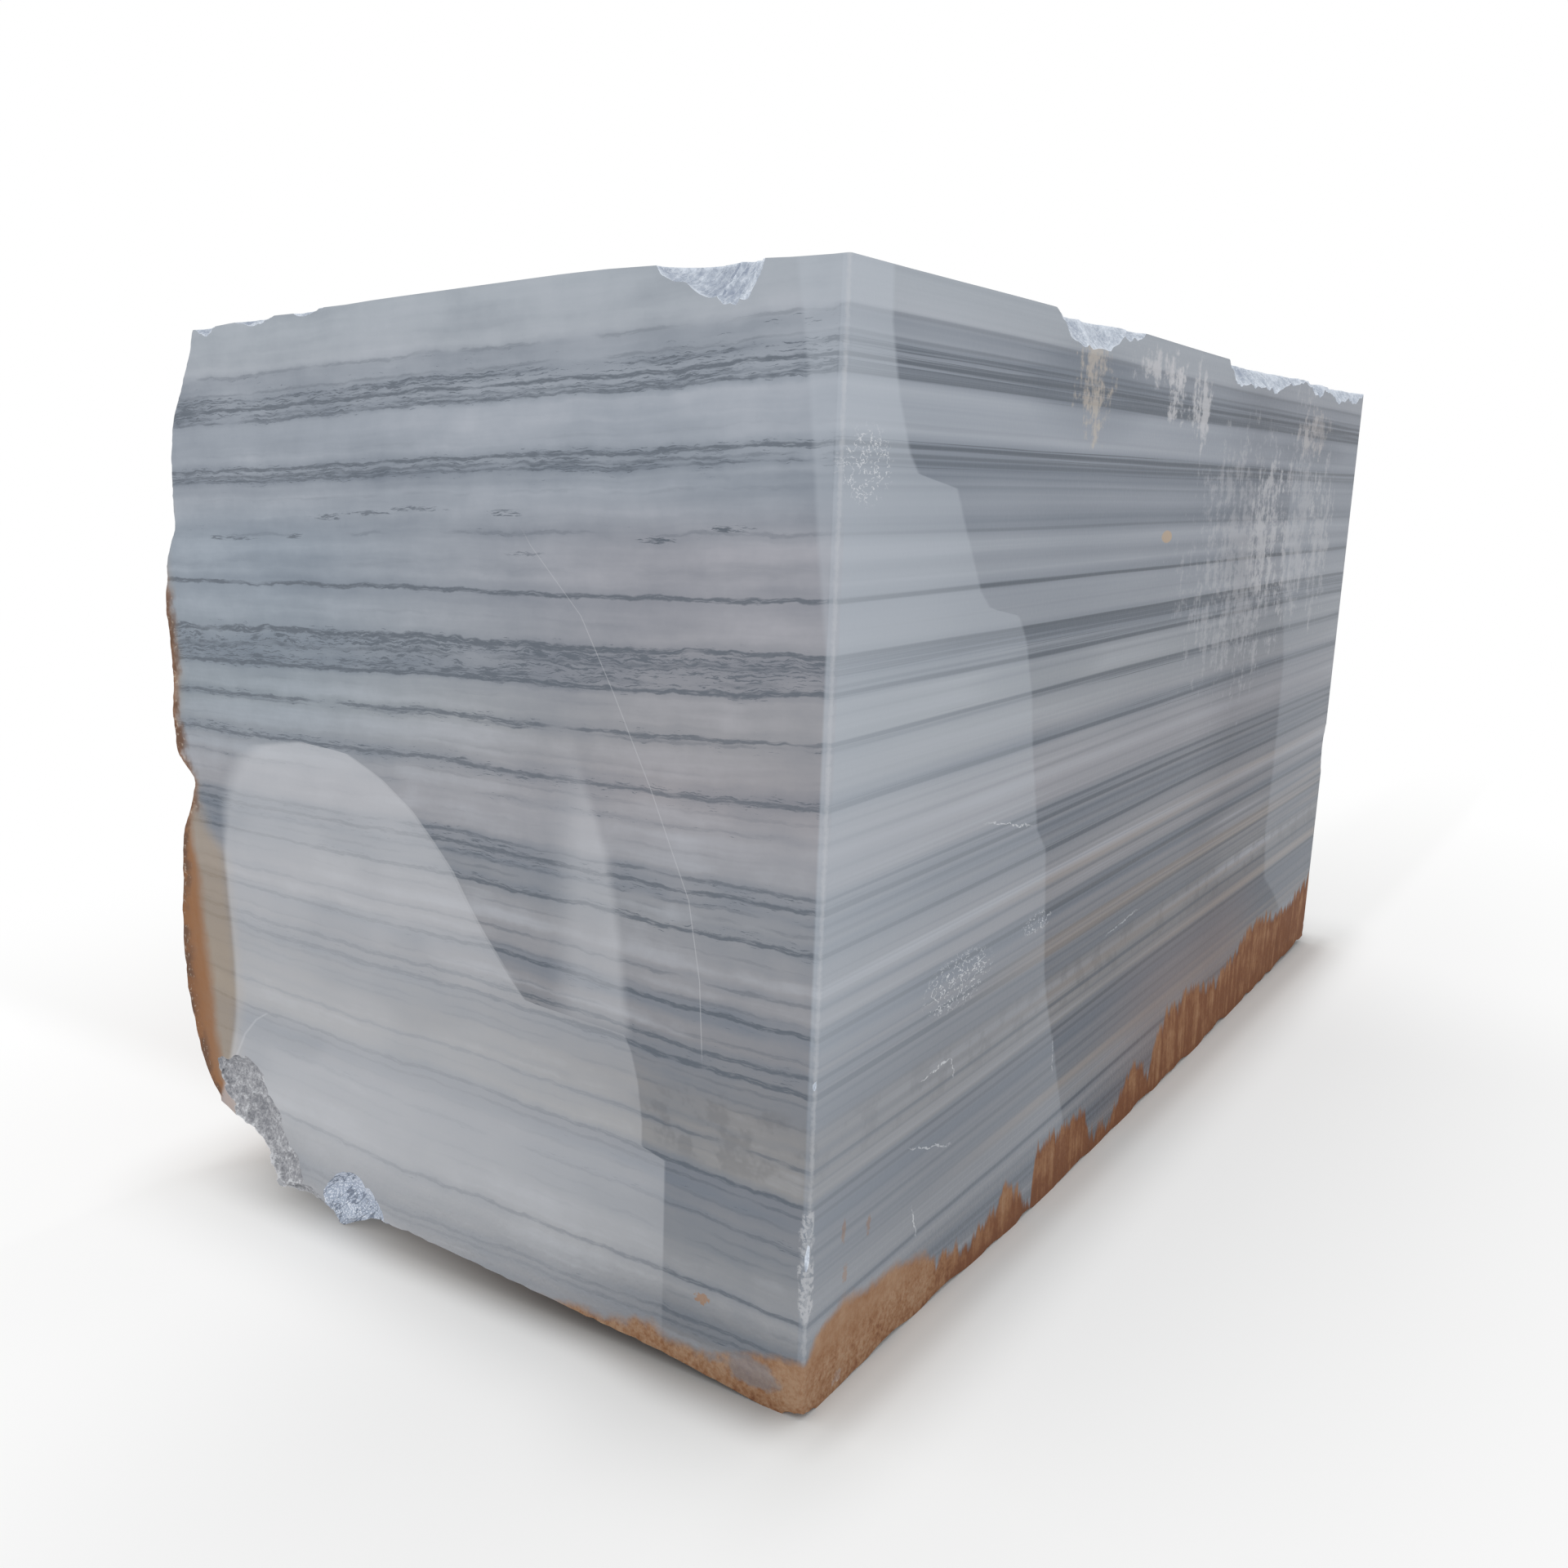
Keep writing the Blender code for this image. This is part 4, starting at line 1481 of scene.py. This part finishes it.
@dataclass(frozen=True)
class SawnFinish:
    """Sawn marble with its bedding, painted sky reflection, stains, runs and mud."""

    shape: StoneShape
    bedding: Bedding = Bedding()
    sky_reflection: PaintedSkyReflection = PaintedSkyReflection()
    lime: LimeRuns = LimeRuns()
    mud: Mud = Mud()
    rust: Triple = tone(139, 96, 60)
    umber: Triple = tone(112, 70, 41)
    bark: Triple = tone(94, 66, 48)
    straw: Triple = tone(160, 143, 122)
    speck: Triple = tone(190, 176, 160)
    rub_and_edge_highlight: Triple = tone(200, 201, 204)
    scratch: Triple = tone(200, 202, 206)
    side_reflection_dark: Triple = (0.50, 0.50, 0.525)
    beige: Triple = tone(146, 134, 124)
    hairline: Triple = tone(84, 88, 98)
    foot_brown: Triple = tone(120, 100, 94)
    straw_width: tuple[Pair, ...] = (
        (0.0, 0.10), (0.25, 0.14), (0.45, 0.210), (0.60, 0.200), (0.74, 0.170), (0.79, 0.10),
        (0.86, 0.02), (0.95, 0.03), (1.10, 0.045), (1.28, 0.03), (1.36, 0.0), (1.80, 0.0),
    )
    rust_width: tuple[Pair, ...] = (
        (0.0, 0.05), (0.24, 0.065), (0.45, 0.095), (0.60, 0.085), (0.72, 0.060), (0.79, 0.030),
        (0.86, 0.004), (0.95, 0.016), (1.10, 0.022), (1.26, 0.012), (1.34, -0.02), (1.80, -0.02),
    )
    scratch_arc: tuple[Pair, ...] = (
        (0.55, 0.215), (0.70, 0.225), (0.83, 0.25), (1.00, 0.33), (1.15, 0.41), (1.27, 0.48),
        (1.38, 0.59), (1.42, 0.62),
    )
    reflection_along: tuple[Pair, ...] = (
        (0.0, 0.02), (0.3, 0.08), (0.6, 0.20), (1.2, 0.34), (1.7, 0.40), (2.0, 0.72),
        (2.3, 0.66), (3.1, 0.66),
    )
    reflection_up: tuple[Pair, ...] = (
        (0.0, 0.30), (0.48, 0.26), (0.62, 0.14), (0.85, 0.12), (0.95, 0.0))

    def stain(self, bench: Bench, place: StonePlace, grains: Grains, base: Colour) -> bpy.types.NodeSocket:
        """Stain the margin beside the natural flank with iron.

        Args:
            bench: the finish's nodes.
            place: where a spot is on the block.
            grains: the shared grain.
            base: the colour underneath.

        Returns:
            The stained colour.
        """
        edge = bench.curve(place.up, self.shape.flank) - place.front
        wobble = (grains.blot - 0.5) * 0.05 + (grains.cloud - 0.5) * 0.05
        wide = bench.curve(place.up, self.straw_width)
        rusty = bench.curve(place.up, self.rust_width)
        straw = bench.step(edge + wobble * 0.4, wide + 0.010, wide - 0.060) * place.on_front
        rust = bench.step(edge + wobble * 0.8, rusty + 0.014, rusty - 0.030) * place.on_front
        deep = bench.step(edge + wobble * 1.4, rusty * 0.60, 0.0) * bench.step(rusty, 0.0, 0.02)
        crust = bench.step(edge + wobble * 1.2, 0.036, 0.006) * bench.step(rusty, 0.0, 0.02)
        crust = crust * place.on_front
        colour = bench.blend(straw * 0.62, base, self.straw)
        colour = bench.blend(rust * (0.70 + grains.blot * 0.5), colour, self.rust)
        colour = bench.blend(deep * place.on_front * 0.75, colour, self.umber)
        colour = bench.blend(crust * bench.step(grains.blot, 0.60, 0.44) * 0.85, colour, self.bark)
        return bench.blend(crust * bench.step(grains.grit, 0.58, 0.66) * 0.5, colour, self.speck)

    def wear(self, bench: Bench, place: StonePlace, grains: Grains, base: Colour) -> bpy.types.NodeSocket:
        """Draw the pale near arris, partly real wear and partly a painted highlight along its bevel, the
        scratch and the paler foot of the near edge.

        Args:
            bench: the finish's nodes.
            place: where a spot is on the block.
            grains: the shared grain.
            base: the colour underneath.

        Returns:
            The worn colour.
        """
        # Partly wear, partly painted highlight: a pale line along the near arris where its bevel catches
        # light.
        arris = place.front.most(place.side)
        rubbed_and_lit = bench.step(arris + (grains.grit - 0.5) * 0.010, 0.007, 0.001)
        rubbed_and_lit = rubbed_and_lit * (grains.blot * 1.2 + 0.3)
        away = (arris / 0.020) ** 2.0 + ((place.up - 0.25) / 0.12) ** 2.0
        frayed = bench.step(away + (grains.blot - 0.5) * 4.0, 1.0, 0.4)
        frayed = frayed * bench.step(grains.grit, 0.42, 0.55)
        colour = bench.blend((rubbed_and_lit * 0.28).most(frayed * 0.5), base, self.rub_and_edge_highlight)
        arc = bench.curve(place.up, self.scratch_arc)
        scratch = bench.line(place.front, arc, 0.0004, 0.0012) * place.on_front
        scratch = scratch * bench.step(place.up, 0.55, 0.60) * bench.step(place.up, 1.42, 1.36)
        return bench.blend(scratch * 0.30, colour, self.scratch)

    def side_dark_reflection_and_tone(self, bench: Bench, place: StonePlace, base: Colour) -> bpy.types.NodeSocket:
        """Darken the long side with a painted dark reflection, deeper farther along it and towards the foot,
        then add its beige, hairline streaks and brown foot.

        Args:
            bench: the finish's nodes.
            place: where a spot is on the block.
            base: the colour underneath.

        Returns:
            The darkened colour.
        """
        # Painted dark reflection: a multiply that is deeper farther along the side and towards the foot, and
        # weaker on one lighter band.
        depth = bench.curve(place.side, self.reflection_along)
        depth = depth + bench.curve(place.up, self.reflection_up)
        depth = depth + bench.step(place.up, 0.70, 0.50) * bench.step(place.side, 1.0, 0.7) * 0.14
        light_bed = bench.step(place.side, 1.8, 2.1) * bench.line(place.up, 0.56, 0.06, 0.08)
        depth = depth - light_bed * 0.30
        colour = bench.blend(depth * place.on_side, base, self.side_reflection_dark, "MULTIPLY")
        warm = place.grain(bench, (1.0, 0.16, 15.0), detail=2.0)
        warm = bench.step(warm, 0.50, 0.66) * bench.step(place.side, 0.35, 0.9)
        warm = warm * bench.step(place.up, 0.85, 0.68)
        colour = bench.blend(warm * place.on_side * 0.42, colour, self.beige)
        fine = place.grain(bench, (1.0, 0.08, 105.0), roughness=0.6)
        shade = bench.step(fine, 0.50, 0.66) * bench.step(place.up, 1.3, 0.5)
        colour = bench.blend(shade * place.on_side * 0.26, colour, self.hairline)
        brown = bench.step(place.side, 1.0, 1.7) * bench.step(place.side, 2.6, 2.1)
        brown = brown * bench.step(place.up, 0.50, 0.22) * 0.40
        return bench.blend(brown * place.on_side, colour, self.foot_brown)

    def material(self) -> bpy.types.Material:
        """Make the finish.

        Returns:
            The material for the sawn faces.
        """
        bench = Bench(Skin.SAWN.value)
        place = StonePlace.of(bench, self.shape)
        grains = Grains.of(bench, place)
        colour = self.bedding.lay(bench, place, grains)
        # Painted dark reflection on the long side, with its own beige, streaks and brown foot.
        colour = self.side_dark_reflection_and_tone(bench, place, colour)
        colour = self.stain(bench, place, grains, colour)
        # Painted sky reflection over the bedding.
        colour = self.sky_reflection.spread(bench, place, grains, colour)
        colour = self.lime.spread(bench, place, grains, colour)
        colour = self.wear(bench, place, grains, colour)
        mud = self.mud.reach(bench, place, grains)
        colour = bench.blend(mud * 0.95, colour, self.mud.colour(bench, place, grains))
        roughness = 0.40 + grains.grit * 0.14 + mud * 0.38
        foot = bench.step(bench.z, 0.24, 0.10)
        relief = bench.grain(bench.place, 95.0, detail=1.0)
        return bench.finish(colour, roughness, relief * (0.12 + foot * 0.5), 0.003, specular=0.2)


@dataclass(frozen=True)
class BrokenFinish:
    """Fresh sugary marble where flakes came off."""

    shape: StoneShape
    mud: Mud = Mud()
    bright: Triple = tone(214, 222, 233)
    frost: Triple = tone(178, 187, 200)
    blue: Triple = tone(146, 156, 174)
    dull: tuple[tuple[float, Triple], ...] = (
        (0.38, tone(128, 130, 136)), (0.50, tone(161, 162, 167)), (0.62, tone(206, 208, 212)))
    glint: Triple = tone(198, 206, 222)
    smooth: Triple = tone(158, 170, 190)
    crystal: Triple = tone(232, 238, 248)
    crack: Triple = tone(96, 106, 124)
    hair: Triple = tone(228, 234, 242)
    dirt: Triple = tone(150, 132, 112)

    def material(self) -> bpy.types.Material:
        """Make the finish.

        Returns:
            The material for the broken faces.
        """
        bench = Bench(Skin.BROKEN.value)
        place = StonePlace.of(bench, self.shape)
        grains = Grains.of(bench, place)
        crest = Field(bench, bench.node("ShaderNodeAttribute", {"attribute_name": "crest"}).outputs["Fac"])
        sugar = bench.grain(bench.place, 260.0, detail=2.0, roughness=0.7)
        lustre = grains.blot * 0.46 + grains.grit * 0.28 + sugar * 0.26 + crest.least(0.6).most(-0.4) * 0.42
        fresh = bench.tones(lustre, ((0.36, self.blue), (0.50, self.frost), (0.64, self.bright)))
        speckle = grains.blot * 0.28 + grains.grit * 0.38 + sugar * 0.34 + crest.least(0.6).most(-0.4) * 0.30
        dull = bench.tones(speckle, self.dull)
        corner = bench.step(place.front, 1.185, 1.205) * bench.step(place.up, 0.45, 0.36)
        corner = corner * bench.step(place.side, 0.5, 0.3)
        across = (place.up + place.front) * 44.0
        slant = bench.vector(across, (place.up - place.front) * 9.0, 0.0)
        splits = bench.grain(slant, 1.0, 3.0, distortion=0.6)
        cracks = bench.line(splits, 0.53, 0.012, 0.022)
        lens = bench.step(place.up, 0.16, 0.14) * bench.step(place.front, 0.9, 0.95)
        lit = lens * bench.step(place.up, 0.03, 0.08)
        colour = bench.blend(lit * 0.55, fresh, self.glint)
        shell = bench.step(place.up, 0.115, 0.075) * lens
        colour = bench.blend(shell * 0.70, colour, self.smooth)
        colour = bench.blend(lens * bench.step(sugar, 0.50, 0.58) * 0.80, colour, self.crystal)
        colour = bench.blend(cracks * lens * 0.75, colour, self.crack)
        fibres = bench.vector(place.front * 60.0 + place.up * 44.0, place.side * 40.0,
                              place.up * 14.0 - place.front * 9.0)
        hairs = bench.line(bench.grain(fibres, 1.0, 3.0), 0.5, 0.010, 0.030)
        hairs = hairs * bench.step(place.up, 1.0, 1.2)
        colour = bench.blend(hairs * 0.34, colour, self.hair)
        colour = bench.blend(corner, colour, dull)
        back = bench.step(place.side, 2.2, 2.8) * bench.step(place.up, 1.70, 1.60)
        soiled = bench.step(grains.blot, 0.56, 0.40) * back * 0.6
        colour = bench.blend(soiled, colour, self.dirt)
        clean = bench.step(place.side, 0.30, 0.20) * bench.step(place.front, 0.9, 0.95)
        mud = bench.step(0.10 + (grains.blot - 0.5) * 0.2 - place.up, -0.02, 0.03) * (1.0 - clean)
        colour = bench.blend(mud * 0.85, colour, self.mud.colour(bench, place, grains))
        relief = bench.grain(bench.place, 130.0, detail=3.0, roughness=0.7)
        return bench.finish(colour, 0.50 + sugar * 0.2, relief, 0.004, specular=0.3)


@dataclass(frozen=True)
class NaturalFinish:
    """Weathered rock with an iron crust."""

    shape: StoneShape
    mud: Mud = Mud()
    crust: Triple = tone(146, 101, 70)
    ochre: Triple = tone(176, 142, 104)
    pit: Triple = tone(82, 60, 46)
    bare: Triple = tone(150, 147, 144)
    bare_low: Triple = tone(106, 102, 99)
    bare_high: Triple = tone(182, 180, 177)
    russet: Triple = tone(160, 116, 80)
    seam: Triple = tone(92, 84, 78)

    def material(self) -> bpy.types.Material:
        """Make the finish.

        Returns:
            The material for the natural flank.
        """
        bench = Bench(Skin.NATURAL.value)
        place = StonePlace.of(bench, self.shape)
        grains = Grains.of(bench, place)
        crest = Field(bench, bench.node("ShaderNodeAttribute", {"attribute_name": "crest"}).outputs["Fac"])
        crest = crest.least(0.5).most(-0.5)
        broad = bench.grain(bench.place, 2.0, detail=4.0, roughness=0.62)
        layers = place.grain(bench, (1.5, 0.6, 34.0), detail=3.0)
        pattern = grains.blot * 0.55 + grains.grit * 0.30 + crest * 0.22 + 0.075
        rock = bench.tones(pattern, (
            (0.36, self.bare_low), (0.50, self.bare), (0.64, self.bare_high)))
        rust = bench.tones(pattern, (
            (0.36, self.pit), (0.46, self.crust), (0.56, self.russet), (0.66, self.ochre)))
        high = bench.step(place.up, 1.46, 1.24)
        cover = bench.step(broad * 0.65 + grains.drip * 0.35 + high * 0.15, 0.50, 0.60)
        colour = bench.blend(cover, rock, rust)
        colour = bench.blend(bench.step(layers, 0.56, 0.70) * 0.30, colour, self.seam)
        mud = self.mud.reach(bench, place, grains)
        colour = bench.blend(mud * 0.8, colour, self.mud.colour(bench, place, grains))
        relief = bench.grain(bench.place, 26.0, detail=5.0, roughness=0.68)
        return bench.finish(colour, 0.78 + grains.grit * 0.15, relief, 0.016, specular=0.3)


@dataclass(frozen=True)
class UnderFinish:
    """The split underside, packed with mud and dust."""

    shape: StoneShape
    mud: Mud = Mud()
    rock: tuple[tuple[float, Triple], ...] = (
        (0.38, tone(104, 102, 102)), (0.50, tone(140, 138, 138)), (0.62, tone(176, 176, 178)))

    def material(self) -> bpy.types.Material:
        """Make the finish.

        Returns:
            The material for the underside.
        """
        bench = Bench(Skin.UNDER.value)
        place = StonePlace.of(bench, self.shape)
        grains = Grains.of(bench, place)
        rock = bench.tones(grains.blot * 0.6 + grains.grit * 0.4, self.rock)
        near = bench.step(place.front, 1.05, 1.12) * bench.step(place.side, 0.24, 0.12)
        share = bench.step(grains.cloud, 0.34, 0.50) * (1.0 - near * 0.9)
        colour = bench.blend(share, rock, self.mud.colour(bench, place, grains))
        relief = bench.grain(bench.place, 24.0, detail=4.0, roughness=0.66)
        return bench.finish(colour, 0.86, relief, 0.012, specular=0.3)


# --------------------------------------------------------------- studio


@dataclass(frozen=True)
class Studio:
    """Pale floor with a painted contact shadow and painted glow, soft light and the camera."""

    eye: Triple = (1.8752, -3.2709, 1.4435)
    yaw: float = 33.789
    pitch: float = 11.061
    roll: float = 0.052
    lens: float = 32.717
    sensor: float = 36.0
    floor_half: float = 60.0
    floor_tone: Triple = tone(240, 240, 239)
    painted_contact_shadow: Triple = tone(160, 159, 158)
    key_place: Triple = (3.0, -6.0, 5.0)
    key_aim: Triple = (0.0, 0.0, 0.8)
    key_size: float = 5.0
    key_power: float = 24.0

    def camera(self) -> bpy.types.Object:
        """Set the camera where the block is seen from one corner.

        Returns:
            The camera.
        """
        data = bpy.data.cameras.new("camera")
        data.lens = self.lens
        data.sensor_width = self.sensor
        data.clip_end = 500.0
        made = bpy.data.objects.new("camera", data)
        turn = (Matrix.Rotation(math.radians(self.yaw), 4, "Z")
                @ Matrix.Rotation(math.radians(90.0 - self.pitch), 4, "X")
                @ Matrix.Rotation(math.radians(-self.roll), 4, "Z"))
        made.matrix_world = Matrix.Translation(self.eye) @ turn
        bpy.context.scene.collection.objects.link(made)
        bpy.context.scene.camera = made
        return made

    def floor(self) -> bpy.types.Object:
        """Lay a pale floor that brightens into the distance, with a painted contact shadow near the block and
        a painted white glow that lifts the block's shadow away from it.

        Returns:
            The floor.
        """
        bm = bmesh.new()
        bmesh.ops.create_grid(bm, x_segments=2, y_segments=2, size=self.floor_half)
        mesh = bpy.data.meshes.new("floor")
        bm.to_mesh(mesh)
        bm.free()
        bench = Bench("pale_floor_painted_light")
        # Painted light: the glow share lift grows with the distance from the block, so the floor's real
        # shadow fades out quickly.
        out_x = (abs(bench.x) - 0.80).most(0.0) * (1.6 + bench.step(bench.x, 0.5, 0.9) * 0.4)
        out_y = (abs(bench.y) - 1.53).most(0.0) * (1.35 - bench.step(bench.x, 0.30, 0.55) * 0.35)
        away = (out_x * out_x + out_y * out_y) ** 0.5
        lift = bench.step(away, 0.0, 0.42) * 0.46 + bench.step(away, 0.3, 4.0) * 0.54
        # Painted light: more glow in front of the end face, beside the raised left foot and far behind on the
        # right, to lighten the shadow there.
        painted_light_front = bench.step(bench.x, 0.30, -0.45) * bench.step(bench.y, -1.38, -1.60, 0.27)
        painted_light_front = painted_light_front.most(bench.step(bench.x, -0.70, -0.90) * bench.step(bench.y, -1.1, -1.35, 0.34))
        far = bench.step(bench.y, 0.5, 1.5) * bench.step(bench.x, 0.84, 0.95, 0.22)
        lift = (lift + painted_light_front + far).share()
        # Painted contact shadow: a darker floor colour within 0.14 of the block, along its front and left,
        # much less on its right.
        dark = bench.step(away, 0.14, 0.0) * bench.step(bench.x, -0.95, -0.30)
        dark = dark * (1.0 - bench.step(bench.x, 0.68, 0.80, 0.72))
        painted_shadow_tint = bench.blend(dark, self.floor_tone, self.painted_contact_shadow)
        shader = bench.node("ShaderNodeBsdfDiffuse", inputs={"Color": painted_shadow_tint})
        # Painted light: the floor glows white where lift is high, though it is no lamp.
        glow = bench.node("ShaderNodeEmission", inputs={"Color": (1.0, 1.0, 1.0), "Strength": 1.0})
        mix = bench.node("ShaderNodeMixShader", inputs={0: lift, 1: shader.outputs[0], 2: glow.outputs[0]})
        bench.node("ShaderNodeOutputMaterial", inputs={"Surface": mix.outputs[0]})
        bench.material.cycles.emission_sampling = "NONE"
        mesh.materials.append(bench.material)
        made = bpy.data.objects.new("floor", mesh)
        bpy.context.scene.collection.objects.link(made)
        return made

    def lamp(self, name: str, place: Triple, aim: Triple, size: float, power: float) -> None:
        """Hang one large soft lamp.

        Args:
            name: the name of the lamp.
            place: where it hangs.
            aim: what it points at.
            size: the length of its side.
            power: its power in watts.
        """
        data = bpy.data.lights.new(name, "AREA")
        data.shape = "SQUARE"
        data.size = size
        data.energy = power
        made = bpy.data.objects.new(name, data)
        made.location = place
        made.rotation_euler = (Vector(aim) - Vector(place)).to_track_quat("-Z", "Y").to_euler()
        bpy.context.scene.collection.objects.link(made)

    def light(self) -> None:
        """Light the block from an even white surround and one soft lamp."""
        world = bpy.data.worlds.new("white_surround")
        world.use_nodes = True
        back = world.node_tree.nodes["Background"]
        back.inputs["Color"].default_value = (1.0, 1.0, 1.0, 1.0)
        back.inputs["Strength"].default_value = 1.0
        bpy.context.scene.world = world
        self.lamp("key", self.key_place, self.key_aim, self.key_size, self.key_power)
        view = bpy.context.scene.view_settings
        view.view_transform = "Standard"
        view.look = "None"


def main() -> None:
    """Build, dress, light and place the block."""
    logging.basicConfig(level=logging.INFO, format="%(name)s %(message)s")
    studio = Studio()
    studio.camera()
    studio.floor()
    studio.light()
    shape = StoneShape()
    skins = {
        Skin.SAWN: SawnFinish(shape).material(),
        Skin.BROKEN: BrokenFinish(shape).material(),
        Skin.NATURAL: NaturalFinish(shape).material(),
        Skin.UNDER: UnderFinish(shape).material(),
    }
    stone = QuarryBlock(shape, skins).build()
    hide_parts("marble_block")
    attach(stone, "root")
    LOG.info("dressed %s", stone.name)


if __name__ == "__main__":
    main()
